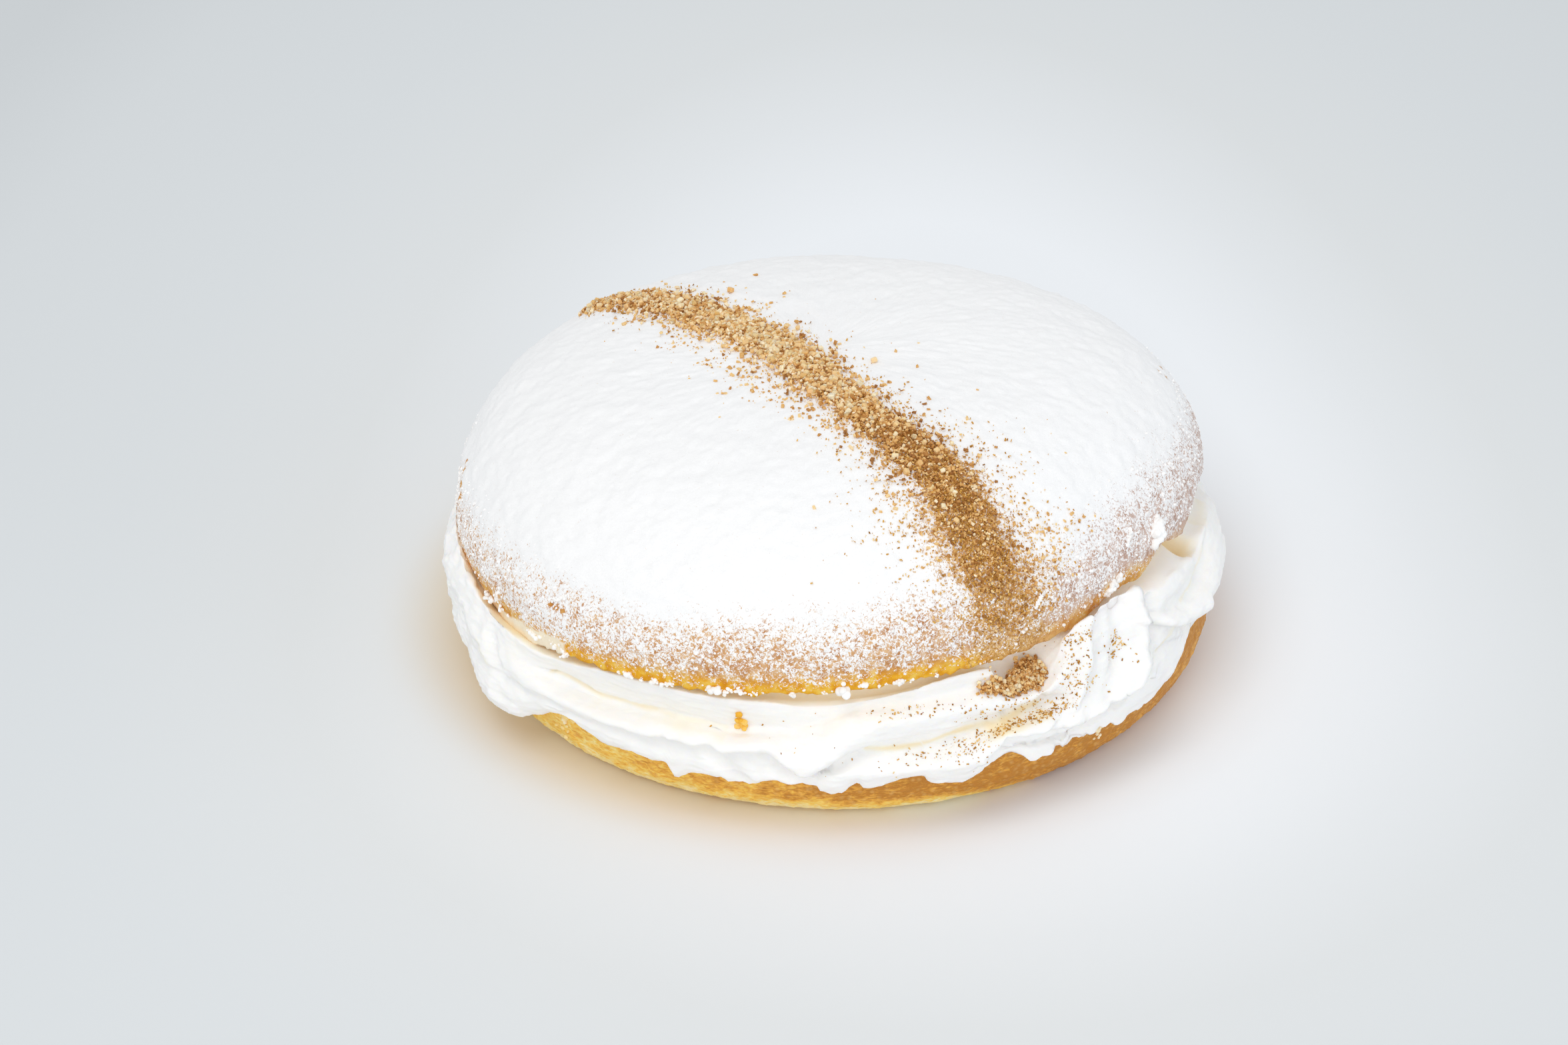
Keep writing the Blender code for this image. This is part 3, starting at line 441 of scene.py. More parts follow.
# Where one fold lies over the next: depth of the groove, its width on the raised side and on the
# other, step, then its points as azimuth and height, with the raised side on the left of the way.
CREASES = (
    (0.40, 1.2, 0.6, 0.30, (
        (19.1, 20.5), (13.8, 20.3), (4, 20.5), (-6.7, 17.5), (-15.9, 16.1), (-25.2, 16.4),
        (-36.5, 15.2), (-44.6, 15.8))),
    (0.45, 0.6, 0.7, 0.45, (
        (-41, 12.4), (-36, 13.0), (-30.3, 13.7), (-22.7, 14.4), (-15.4, 14.2), (-11.6, 14.5),
        (-8.4, 14.1), (-6.6, 12.7), (-4.7, 11.5), (-2.7, 12.0), (-0.7, 13.2), (3.1, 14.7),
        (5.6, 15.5), (12.0, 15.4), (18, 15.9), (24.1, 16.6), (30.5, 16.8))),
    (0.40, 0.6, 1.2, 0.20, (
        (33.0, 15.8), (26.2, 15.2), (19.7, 14.6), (13.7, 13.4), (6.8, 14.3), (2.1, 13.4),
        (-1.1, 12.2))),
    (1.00, 0.4, 0.7, 1.00, (
        (20.8, 12.4), (23.5, 14.2), (27.5, 13.6), (32.3, 12.8), (38.7, 13.3), (41.9, 13.5),
        (45.9, 14.2), (48.6, 16.7), (50.0, 21.7), (50.2, 25))),
    (0.90, 0.4, 0.6, 0.80, (
        (25.6, 11.9), (30.7, 11.0), (34.6, 10.6), (39.5, 11.4), (44.4, 12.2), (49.5, 13.0))),
    (0.70, 0.4, 0.5, 0.60, ((36.0, 12.2), (40.5, 12.5), (46.0, 13.2), (50.4, 15.2))),
    (0.30, 0.6, 1.8, 0.40, ((31.3, 14.4), (34.6, 15.4), (36.8, 17.4), (38.2, 21.2), (39.6, 24.6))),
    (0.50, 1.4, 0.5, 0.30, (
        (53.6, 21.0), (55.9, 20.5), (61.3, 19.1), (65.4, 19.0), (69.9, 19.5), (72.7, 20.1),
        (75.5, 21.2))),
    (0.55, 0.5, 0.8, 0.60, ((50.8, 21.0), (54.3, 18.6), (58.2, 16.8), (64.4, 14.6), (67.4, 13.6))),
    (0.70, 0.7, 0.7, 0.00, ((52.2, 24.3), (51.0, 21.7), (50.8, 18))),
    (0.35, 0.5, 0.6, 0.30, ((51.6, 15.6), (55.2, 15.6), (59.5, 14.4))),
    (0.50, 0.8, 0.8, 0.00, ((33.8, 23.2), (32.2, 21.0), (30.8, 18.3), (30.6, 16.6))),
    (0.30, 0.9, 0.9, 0.00, ((-57.7, 15.9), (-54.4, 13.5))),
    (0.30, 0.9, 0.9, 0.00, ((-17.9, 14.0), (-13.6, 9.6))),
    (0.30, 0.9, 0.9, 0.00, ((-9.6, 14.0), (-5.2, 10.6))),
    (0.40, 0.5, 1.0, 0.30, ((-180, 13.6), (-160, 12.4), (-140, 13.2), (-120, 12.2), (-100, 13.2))),
    (0.40, 0.5, 1.0, 0.30, ((100, 13.6), (115, 12.6), (135, 13.4), (155, 12.4), (179, 13.6))))
STEP_REACH = 2.0  # how far from a crease its step fades out
STEP_EDGE = 0.3  # how sharply it steps
# Yellow in the folds, partly where fat and egg from the bun got into a fold and partly painted
# warm shade in the creases; the broad faint one along the ledge is painted shade under the top
# half's edge: strength, half width, azimuths and heights.
STAINS_AND_WARM_SHADE = (
    (0.60, 0.45, ((-45.5, 16.0), (-36.5, 15.4), (-27.0, 16.3))),
    (0.35, 0.6, ((-27.0, 16.3), (-15.9, 16.2))),
    (0.85, 0.45, (
        (4.0, 14.2), (11.9, 13.6), (14.8, 14.0), (19.4, 14.7), (24.1, 15.3), (30.5, 15.6))),
    (0.35, 0.35, ((75.5, 21.0), (72.7, 20.0), (69.9, 19.4), (65.4, 18.9), (61.3, 19.0))),
    (0.25, 0.6, ((86.0, 21.4), (78.0, 22.0))),
    (0.10, 2.4, ((-52.0, 17.4), (-36.0, 17.8), (-20.0, 18.6), (-4.0, 18.8), (10.0, 20.6))),
    (0.40, 0.5, ((53.5, 15.4), (59.5, 16.2))),
    (0.25, 0.6, ((-60.0, 14.6), (-57.0, 12.4))))
CREAM_COLUMNS = 720
CREAM_FACE_ROWS = 104
CURVE_STEPS = 12  # between two points of a rounded line
TUCKED_ROWS = 8  # rows of the section that lie against the bun, and stay smooth
CREAM_RADIUS = 54.0  # of its face, about
DEGREE = 0.94  # millimetres of the face in a degree, about
SLACK = 0.35  # gap between the cream's cut faces and the bun's


def read_line(stations, azimuth):
    """Radius and height of a closed line at each azimuth; it never overshoots its stations."""
    table = np.array(stations, float)
    spans = ((np.roll(table[:, 0], -1) - table[:, 0]) % 360.0)[:, None]
    before_spans = np.roll(spans, 1, axis=0)
    rises = (np.roll(table, -1, axis=0) - table) / spans
    before = np.roll(rises, 1, axis=0)
    weights = 2.0 * spans + before_spans, spans + 2.0 * before_spans
    with np.errstate(divide="ignore", invalid="ignore"):
        slopes = np.where(before * rises <= 0.0, 0.0, (weights[0] + weights[1])
                          / (weights[0] / before + weights[1] / rises))
    along = (azimuth[:, None] - table[None, :, 0]) % 360.0
    index = np.argmin(along, axis=1)
    after = (index + 1) % len(table)
    u = along[np.arange(len(azimuth)), index][:, None] / spans[index]
    values = (table[index] * (2 * u ** 3 - 3 * u ** 2 + 1)
              + table[after] * (3 * u ** 2 - 2 * u ** 3)
              + spans[index] * (slopes[index] * (u ** 3 - 2 * u ** 2 + u)
                                + slopes[after] * (u ** 3 - u ** 2)))
    return values[:, 1:]


def rounded_rows(points, steps):
    """Resample every column's line of points to even steps along a rounded curve."""
    padded = np.concatenate([2 * points[:1] - points[1:2], points,
                             2 * points[-1:] - points[-2:-1]])
    fine = []
    for index in range(1, len(padded) - 2):
        a, b, c, d = padded[index - 1:index + 3]
        for t in np.arange(CURVE_STEPS) / CURVE_STEPS:
            fine.append(0.5 * (2 * b + (c - a) * t + (2 * a - 5 * b + 4 * c - d) * t ** 2
                               + (3 * b - a - 3 * c + d) * t ** 3))
    fine = np.array(fine + [points[-1]])
    steps_long = np.linalg.norm(np.diff(fine, axis=0), axis=2)
    run = np.concatenate([np.zeros((1, fine.shape[1])), np.cumsum(steps_long, axis=0)])
    share = np.linspace(0.0, 1.0, steps + 1)
    sampled = np.empty((steps + 1, *fine.shape[1:]))
    for column, axis in np.ndindex(*fine.shape[1:]):
        sampled[:, column, axis] = np.interp(share * run[-1, column], run[:, column],
                                             fine[:, column, axis])
    return sampled


def offset_from(azimuth, height, line):
    """Distance of spots on the cream's face from a line of (azimuth, height), + at its left."""
    reach = CREAM_RADIUS * math.pi / 180.0
    nearest = signed = np.full(azimuth.shape, np.inf)
    for start, end in zip(line, line[1:]):
        run = np.array([(end[0] - start[0]) * reach, end[1] - start[1]])
        aside = turned(azimuth, start[0]) * reach
        above = height - start[1]
        along = np.clip((aside * run[0] + above * run[1]) / run.dot(run), 0.0, 1.0)
        gap = np.hypot(aside - along * run[0], above - along * run[1])
        side = np.sign(run[0] * above - run[1] * aside)
        closer = gap < nearest
        nearest = np.where(closer, gap, nearest)
        signed = np.where(closer, gap * side, signed)
    return signed


def cut_plane_height(x, y):
    """Height of the top half's cut face above a place in plan."""
    return (TOP_CENTRE[2] - (TOP_NORMAL[0] * (x - TOP_CENTRE[0])
                             + TOP_NORMAL[1] * (y - TOP_CENTRE[1])) / TOP_NORMAL[2])


def blended(start, end, shares):
    """Rows of points on the way from one row to another."""
    return start * (1 - shares) + end * shares


TOP_TURN = np.array(Matrix.Rotation(math.radians(-TOP_TILT_RIGHT), 3, "Y")
                    @ Matrix.Rotation(math.radians(-TOP_TILT_FRONT), 3, "X"))
TOP_NORMAL = TOP_TURN @ UP

columns = 360.0 * np.arange(CREAM_COLUMNS) / CREAM_COLUMNS
signed_columns = turned(columns, 0.0)
heading = direction(columns)
crevice, shoulder, ledge, roll, waist, skirt, hem = [
    read_line(line, columns) for line in (CREVICE, SHOULDER, LEDGE_FOOT, ROLL, WAIST, SKIRT, HEM)]
# The hem is torn into small teeth where it was pulled off the palette knife.
teeth = waviness(heading * CREAM_RADIUS, 0.55, (3.0, 1.0, 0.0))
fraying = 0.22 + 0.35 * hump(signed_columns - 42.0, 22.0)
hem[:, 1] += 0.15 * teeth + fraying * np.abs(waviness(heading * CREAM_RADIUS, 1.4, (0.0, 5.0, 0.0)))
roll_top = 0.5 * (ledge + roll) + np.array([0.35, 0.25])
lip = 0.5 * (skirt + hem) + np.array([0.25, -0.2])
face = rounded_rows(np.array([hem, lip, skirt, waist, roll, roll_top, ledge, shoulder]),
                    CREAM_FACE_ROWS)
spread = np.broadcast_to(signed_columns, face.shape[:2])
for start, start_height, end, end_height, half_width, lift in FOLDS:
    gap = offset_from(spread, face[..., 1], ((start, start_height), (end, end_height)))
    face[..., 0] += lift * hump(gap, half_width)
belly = base_radius(columns)
floor = BASE_HEIGHT + SLACK
tuck = np.stack([np.minimum(belly + 0.75, hem[:, 0] - 0.15),
                 np.minimum(np.maximum(hem[:, 1] + 0.7, BASE_BELLY_HEIGHT + 0.3), floor)], -1)
under = np.stack([belly - 0.5, np.full_like(belly, floor)], -1)
inner = crevice[:, 0] - 2.5
inner_height = cut_plane_height(heading[:, 0] * inner, heading[:, 1] * inner) - SLACK
inner = np.stack([inner, inner_height], -1)
straight = np.linspace(0.0, 1.0, 6)[:-1, None, None]
section = np.concatenate([
    blended(under, tuck, straight), blended(tuck, face[0], straight), face,
    blended(shoulder, crevice, straight[1:]), blended(crevice, inner, straight), inner[None]])
for _ in range(3):  # soften the section's corners
    section[1:-1] = 0.25 * section[:-2] + 0.5 * section[1:-1] + 0.25 * section[2:]
rings = heading[None] * section[..., :1] + UP * section[..., 1:]
cream, row = moulded_round("whipped_cream_filling", rings, (0, 0, floor),
                           (0, 0, cut_plane_height(0.0, 0.0) - SLACK))
spots = vectors_of(cream, "co") / MM
azimuth = azimuth_of(spots)
on_face = ((row > TUCKED_ROWS) & (row < len(section) - TUCKED_ROWS)).astype(float)
rise = np.zeros(len(spots))
for depth, raised, other, step, line in CREASES:
    gap = offset_from(azimuth, spots[:, 2], line)
    rise -= depth * np.exp(-(gap / np.where(gap > 0, raised, other)) ** 2)
    rise += step * np.tanh(gap / STEP_EDGE) * np.exp(-(gap / STEP_REACH) ** 2)
unrolled = np.stack([azimuth * DEGREE, spots[:, 2] * 5.0, np.zeros(len(spots))], -1)
rise += 0.16 * waviness(unrolled, 0.16)  # drawn out along the rolls by the knife
rise += 0.10 * waviness(unrolled, 0.42, (9.0, 0.0, 0.0))
rise += 0.14 * waviness(spots, 0.33, (0.0, 4.0, 0.0))
lumpy = smooth_step(-azimuth, 46.0, 56.0)  # rougher where the knife left it alone
rise += lumpy * (0.45 * waviness(spots, 0.16, (2.0, 0.0, 0.0)) + 0.35 * waviness(spots, 0.5)
                 + 0.20 * waviness(spots, 1.1))
spots += vectors_of(cream, "normal") * (rise * on_face)[:, None]
cream.data.vertices.foreach_set("co", (spots * MM).ravel())
relief(cream, "CLOUDS", 2.2, 0.35, on_face)
relief(cream, "CLOUDS", 0.8, 0.20, on_face)

# Painted warm shade in the gap under the top half's edge and in the small hole at the right.
in_gap = smooth_step(row.astype(float), len(section) - 12.0, len(section) - 6.0)
hollows = np.maximum(1 - smooth_step(azimuth, 20.0, 28.0), 2.3 * hump(azimuth - 71.2, 4.0))
stain_and_warm_shade = in_gap * hollows * smooth_step(azimuth, -84.0, -64.0) * (
    0.38 + 0.45 * smooth_step(-azimuth, 25.0, 45.0))
for strength, half_width, line in STAINS_AND_WARM_SHADE:
    gap = offset_from(azimuth, spots[:, 2], line)
    stain_and_warm_shade = np.maximum(stain_and_warm_shade, strength * (0.8 * hump(gap, half_width)
                                          + 0.1 * hump(gap, 3.0 * half_width)))
paint(cream, "stain_and_warm_shade", np.clip(stain_and_warm_shade * (0.9 + 0.4 * waviness(spots, 0.35)), 0.0, 1.0))

# Whipped dairy cream: fat and air bubbles far smaller than a millimetre, so it is white, soft to
# light and satin where the knife smoothed it.  Fat from the crust stains some folds yellow, and the
# same yellow is painted in as warm shade in the gap under the top half and in the creases.
dairy, tree, shader = blank_finish("whipped_dairy_cream")
place = add_node(tree, "TexCoord").outputs["Object"]
stain_and_warm_shade_at = add_node(tree, "Attribute", attribute_name="stain_and_warm_shade").outputs["Fac"]
# The yellow is fat stain and painted warm shade.
colour = add_node(tree, "Mix", {0: stain_and_warm_shade_at, 6: linear("#FBFAF8"), 7: linear("#F6DEA8")},
                  data_type="RGBA")
bubbles = add_node(tree, "TexNoise", {  # bubbles are drawn at 0.5 mm to show
    "Vector": place, "Scale": 2000.0, "Detail": 2.0})
foam = add_node(tree, "Bump", {"Height": bubbles, "Strength": 0.35, "Distance": 0.00015})
plug(shader, {"Base Color": colour, "Normal": foam, "Roughness": 0.42, "Specular IOR Level": 0.3,
              "Subsurface Weight": 0.5, "Subsurface Radius": (1.0, 0.85, 0.65),
              "Subsurface Scale": 0.0008})
cream.data.materials.append(dairy)
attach(cream, "root")
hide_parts("cream_filling")

# ------------------------------------------------------------------------------------------------
# What fell on the cream: cinnamon sugar that ran off the band lies heaped in the hollow at the
# front right, with loose specks of ground cinnamon bark round it.  An orange crumb of crust sits on
# the ledge, and pale crumbs lower down.  All of it just lies there and sticks a little.
HEAP_OUTLINE = (  # azimuth, inner and outer radius
    (20.5, 51.6, 51.9), (23.0, 51.4, 52.1), (25.0, 50.9, 52.2), (27.0, 49.4, 52.0),
    (29.0, 48.4, 51.9), (31.4, 48.2, 51.5), (32.6, 49.2, 50.8))
HEAP_CHIPS = 1600
HEAP_CRYSTALS = 190
HEAP_CEILING = 24.4  # the grains fall from here, under the top half's edge
HEAP_PEAK = (29.6, 3.5)  # its highest part: azimuth, half width
HEAP_RIM = 50.6  # radius inside which the pile fills up the hollow
SPECKS = (  # azimuth, height, spread of each, count
    (35.6, 21.5, 1.2, 1.9, 60), (34.6, 18.0, 1.1, 1.8, 60), (37.6, 25.2, 1.8, 0.7, 70),
    (44.6, 22.4, 0.7, 0.5, 22), (45.2, 20.8, 0.5, 0.7, 20), (43.8, 19.4, 0.5, 0.4, 10),
    (42.0, 18.5, 2.6, 2.2, 26), (33.0, 15.7, 1.0, 0.6, 60), (30.0, 15.3, 1.4, 0.35, 80),
    (26.5, 15.2, 1.8, 0.32, 90), (22.6, 14.9, 1.6, 0.4, 70), (19.4, 13.8, 1.4, 0.8, 50),
    (16.0, 13.0, 1.6, 0.9, 34), (11.5, 13.3, 1.6, 0.5, 20), (18.4, 11.6, 1.6, 1.0, 26),
    (6.0, 12.6, 3.0, 1.2, 12), (12.0, 20.4, 4.0, 0.7, 60), (24.0, 18.2, 4.0, 0.8, 60),
    (29.6, 17.0, 1.4, 0.8, 40), (-4.0, 17.0, 6.0, 2.6, 12))
THROW = (0.83, 0.56)  # a thrown speck comes this far in while it comes this far down
THROW_LENGTH = 30.0
CRUMBS = (  # azimuth, height, spread, size, count, shade
    (-13.9, 18.2, 0.30, 1.2, 18, 0.34), (-46.0, 9.2, 1.0, 1.1, 36, 0.75),
    (43.0, 7.9, 0.35, 0.8, 18, 0.95))


def grain_shapes(kind, count, proportions, knock, bevel=0.0):
    """Model a few shapes of one kind of grain, and give the points and triangles of each."""
    shapes = []
    for index in range(count):
        bpy.ops.object.select_all(action="DESELECT")
        if kind == "block":
            bpy.ops.mesh.primitive_cube_add(size=1.0)
        else:
            bpy.ops.mesh.primitive_ico_sphere_add(subdivisions=kind, radius=0.5)
        model = bpy.context.object
        bpy.ops.object.mode_set(mode="EDIT")
        bpy.ops.mesh.select_all(action="SELECT")
        bpy.ops.transform.resize(value=proportions)
        if bevel:
            bpy.ops.mesh.bevel(offset=bevel, segments=1)
            bpy.ops.mesh.select_all(action="SELECT")
        bpy.ops.transform.vertex_random(offset=knock, seed=index + 1)
        bpy.ops.mesh.quads_convert_to_tris()
        bpy.ops.mesh.normals_make_consistent(inside=False)
        bpy.ops.object.mode_set(mode="OBJECT")
        corners = np.array([vertex.co[:] for vertex in model.data.vertices])
        triangles = np.array([list(face.vertices) for face in model.data.polygons])
        shapes.append((corners, triangles))
        bpy.data.objects.remove(model, do_unlink=True)
    return shapes


def laid_turns(normals, tip):
    """Turns that lay grains along a surface, each spun and tipped at random."""
    up = normals + tip * dice.normal(size=normals.shape)
    up /= np.linalg.norm(up, axis=1, keepdims=True)
    side = np.cross(up, dice.normal(size=normals.shape))
    side /= np.linalg.norm(side, axis=1, keepdims=True)
    return np.stack([side, np.cross(up, side), up], -1)


def strewn(name, shapes, centres, sizes, turns, shades, finish):
    """One mesh of many grains: each a copy of a shape, turned, sized and laid in its place."""
    points, faces, tones, start = [], [], [], 0
    for index, (corners, triangles) in enumerate(shapes):
        chosen = np.arange(index, len(centres), len(shapes))
        placed = np.einsum("gij,pj->gpi", turns[chosen], corners) * sizes[chosen, None, None]
        points.append((placed + centres[chosen, None]).reshape(-1, 3))
        steps = np.arange(len(chosen))[:, None, None] * len(corners) + start
        faces.append((triangles[None] + steps).reshape(-1, 3))
        tones.append(np.repeat(shades[chosen], len(corners)))
        start += len(chosen) * len(corners)
    mesh = bpy.data.meshes.new(name)
    mesh.from_pydata(np.concatenate(points) * MM, [], np.concatenate(faces).tolist())
    piece = bpy.data.objects.new(name, mesh)
    shot.collection.objects.link(piece)
    paint(piece, "shade", np.concatenate(tones))
    mesh.materials.append(finish)
    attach(piece, "root")


def skin_of(piece):
    """A tree of a piece's faces that rays can be cast at."""
    return BVHTree.FromObject(piece, bpy.context.evaluated_depsgraph_get())


def cast(skin, starts, aims):
    """Where rays meet a skin, in millimetres, the skin's normals there and which rays met it."""
    places, normals, met = [], [], []
    for index, (start, aim) in enumerate(zip(starts, aims)):
        hit, normal, _, _ = skin.ray_cast(Vector(start * MM), Vector(aim))
        if hit is not None:
            places.append(np.array(hit) / MM)
            normals.append(np.array(normal))
            met.append(index)
    return np.array(places), np.array(normals), np.array(met, int)


def thrown(azimuth, height):
    """Rays that fall slantwise on the bun's side at an azimuth and a height."""
    aims = -THROW[0] * direction(azimuth) - THROW[1] * UP
    return direction(azimuth) * CREAM_RADIUS - aims * THROW_LENGTH + UP * height[:, None], aims


def grain_finish(name, stops, speckle, sockets):
    """A finish that takes each grain's own tone, a little uneven over the grain."""
    finish, tree, shader = blank_finish(name)
    own = add_node(tree, "Attribute", attribute_name="shade").outputs["Fac"]
    place = add_node(tree, "TexCoord").outputs["Object"]
    specks = add_node(tree, "TexNoise", {"Vector": place, "Scale": 3500.0})  # 0.3 mm
    level = uneven(tree, own, specks, speckle)
    plug(shader, {"Base Color": add_node(tree, "ValToRGB", {"Fac": level}, stops), **sockets})
    return finish


# Coarse sugar tumbled in ground cinnamon: dull golden brown, each chip its own tone.
coated_sugar = grain_finish("cinnamon_coated_sugar", (
    (0.0, "#9C6428"), (0.2, "#C68C46"), (0.5, "#E2B26C"), (0.8, "#F2D298"), (1.0, "#FAEACA")),
    0.7, {"Roughness": 0.55, "Specular IOR Level": 0.4})
# Clean coarse sugar crystals: clear sucrose, IOR 1.56, amber from the cinnamon around them.
clear_sugar = grain_finish("coarse_sugar_crystal", (
    (0.0, "#E2B06A"), (0.5, "#F0CC96"), (1.0, "#FAE8C6")), 0.3, {
        "Roughness": 0.28, "IOR": 1.56, "Subsurface Weight": 0.4,
        "Subsurface Radius": (1.0, 0.7, 0.4), "Subsurface Scale": 0.0008})
# Ground cinnamon bark: dry splinters, matt and darker brown.
bark = grain_finish("ground_cinnamon_bark", (
    (0.0, "#966628"), (0.35, "#C48E3C"), (0.75, "#DEAE58"), (1.0, "#F0D29A")), 0.3, {
        "Roughness": 0.8, "Specular IOR Level": 0.2})

chip_shapes = grain_shapes("block", 10, (1.1, 0.72, 0.5), 0.2)
crystal_shapes = grain_shapes("block", 6, (1.0, 0.85, 0.75), 0.05, 0.14)
splinter_shapes = grain_shapes("block", 6, (1.2, 0.6, 0.35), 0.14)
dice = np.random.default_rng(5)
cream_skin = skin_of(cream)


def heap_spots(count):
    """Places in the hollow, narrow at its left end and wide at its right."""
    outline = np.array(HEAP_OUTLINE).T
    share = dice.random(count) ** 0.5
    azimuth = outline[0, 0] + (outline[0, -1] - outline[0, 0]) * share
    inner, outer = [np.interp(azimuth, outline[0], line) for line in outline[1:]]
    radius = inner + (outer - inner) * dice.random(count) + dice.normal(0.0, 0.35, count)
    starts = direction(azimuth) * radius[:, None] + UP * HEAP_CEILING
    return cast(cream_skin, starts, np.tile(-UP, (count, 1)))[:2]


places, normals = heap_spots(HEAP_CHIPS)
sizes = dice.uniform(0.20, 0.46, len(places))
under_rim = smooth_step(HEAP_RIM - np.hypot(places[:, 0], places[:, 1]), 0.0, 1.6)
pile = 0.7 + 1.2 * hump(azimuth_of(places) - HEAP_PEAK[0], HEAP_PEAK[1]) * under_rim
centres = places + UP * (dice.random(len(places)) ** 1.2 * pile)[:, None]
strewn("heap_sugar_chips", chip_shapes, centres, sizes, laid_turns(normals, 0.8),
       0.85 * dice.random(len(places)) ** 1.25, coated_sugar)
places, normals = heap_spots(HEAP_CRYSTALS)
sizes = dice.uniform(0.25, 0.65, len(places))
centres = places + UP * (0.3 + 0.6 * dice.random(len(places)))[:, None]
strewn("heap_sugar_crystals", crystal_shapes, centres, sizes, laid_turns(normals, 0.6),
       dice.random(len(places)), clear_sugar)

rays = [thrown(dice.normal(azimuth, azimuth_spread, count),
               dice.normal(height, height_spread, count))
        for azimuth, height, azimuth_spread, height_spread, count in SPECKS]
places, normals, _ = cast(cream_skin, *[np.concatenate(part) for part in zip(*rays)])
sizes = 0.10 + 0.28 * dice.random(len(places)) ** 2
strewn("cinnamon_specks", splinter_shapes, places, sizes, laid_turns(normals, 0.35),
       dice.random(len(places)), bark)

# Crumbs torn off the crust and the soft inside: egg-yellow to pale, matt and open.
bun_crumb = grain_finish("torn_bun_crumb", (
    (0.0, "#E8A41A"), (0.3, "#F4BE3C"), (0.7, "#F8E09A"), (1.0, "#FCF1D4")), 0.35, {
        "Roughness": 0.7})
crumb_shapes = grain_shapes(2, 5, (1.0, 0.8, 0.7), 0.12)
groups = []
for azimuth, height, spread, size, count, shade in CRUMBS:
    rays = thrown(dice.normal(azimuth, spread, count), dice.normal(height, spread * 2.0, count))
    groups.append((*rays, size * dice.uniform(0.45, 1.0, count),
                   np.clip(dice.normal(shade, 0.1, count), 0.0, 1.0)))
starts, aims, sizes, shades = [np.concatenate(values) for values in zip(*groups)]
found = []
on_base = starts[:, 2] < 30.0  # aimed at a place low on the bottom half
for skin, chosen in ((cream_skin, ~on_base), (skin_of(base), on_base)):
    places, normals, met = cast(skin, starts[chosen], aims[chosen])
    found.append((places, normals, sizes[chosen][met], shades[chosen][met]))
places, normals, sizes, shades = [np.concatenate(values) for values in zip(*found)]
strewn("loose_bun_crumbs", crumb_shapes, places + normals * sizes[:, None] * 0.15, sizes,
       laid_turns(normals, 0.6), shades, bun_crumb)

# ------------------------------------------------------------------------------------------------
# The top half of the bun: the same dough, a soft dome with a paler, orange-rimmed cut edge.  It
# is dusted through a sieve until the dome is opaque white; low on the side the sugar thins out
# and the tan crust shows through in fine specks.  It rests on the cream, tipped up at the front.
TOP_WIDTH = 105.8
TOP_DEPTH = 105.2
TOP_HEIGHT = 23.8
TOP_BELLY_HEIGHT = 2.8
TOP_BELLY_LEVEL = 0.16  # the belly's share of the rows, from the cut up
TOP_CUT_INSET = 0.35
TOP_SQUARENESS = 3.15  # exponent of the dome's arch: 2 is an ellipse
TOP_LOBING = 0.021  # it is a little three-sided
TOP_LOBE_AZIMUTH = 99.8
TOP_CROWN_SHIFT = (0.4, -1.7)  # plan
SAG = (-55.0, 19.0, 2.8)  # the edge hangs at the left: azimuth, half width, drop
CRUMB_LINE = (  # azimuth, and height up to which the crumb is bare
    (-90.0, -3.0), (-84.0, 0.1), (-72.0, 0.2), (-64.0, -0.4), (-58.0, -0.2), (-54.0, 0.2),
    (-49.0, 0.8), (-45.0, 1.4), (-42.0, 2.1), (-40.2, 2.3), (-39.4, -3.0))
TEARS = (  # torn bits of the edge: azimuth, half width, rise
    (-51.0, 12.0, 0.1), (51.0, 12.0, 1.3), (64.0, 9.0, 2.2), (80.0, 13.0, 2.0))
TEAR_REACH = 6.5
BULGE = (-79.0, 16.0, 0.6)  # of the side at the left: azimuth, half width, rise
BAND_PATH = (  # middle of the cinnamon band in the top half's plan, and its half width
    (-34.4, 26.8, 1.1), (-29.2, 23.8, 2.5), (-22.8, 18.4, 3.5), (-14.0, 8.6, 3.9),
    (-5.4, -1.2, 4.1), (2.2, -14.0, 3.7), (7.4, -21.4, 3.9), (13.6, -28.8, 4.5),
    (18.4, -36.0, 4.8), (20.6, -41.0, 4.9), (23.2, -44.6, 4.9), (26.0, -48.4, 5.6))
BAND_RISE = 0.55
SPILL = (26.5, -44.5, 10.5, 13.0)  # where it spreads out at the front: plan, radius, top
BAND_STRENGTH = (  # shares of its length, and how thick the cinnamon is
    (0.0, 0.5, 0.75, 0.88, 1.0), (0.55, 0.55, 0.80, 0.66, 0.55))
POWDER_LINE = (  # height above the cut where the sugar turns opaque
    (-180, 9.0), (-120, 8.5), (-90, 8.2), (-76, 9.0), (-60, 9.8), (-46, 10.2), (-34, 10.2),
    (-22, 10.3), (-12, 11.2), (20, 12.0), (42, 12.0), (48, 12.4), (60, 13.4), (73, 13.5),
    (85, 12.5), (110, 10.5), (150, 9.0), (180, 9.0))
POWDER_COVER = (  # shares of the way up to that line, and how much hides
    (0.0, 0.08, 0.30, 0.50, 0.70, 0.85, 1.00, 1.20, 1.40),
    (0.16, 0.32, 0.45, 0.49, 0.53, 0.60, 0.71, 0.90, 1.12))
RIM_ORANGE = (  # azimuths, and how orange the edge is
    (-96, -80, -55, -40, 22, 33, 46, 58, 75), (0.0, 0.6, 0.6, 1.0, 1.0, 0.45, 0.85, 0.75, 0.0))
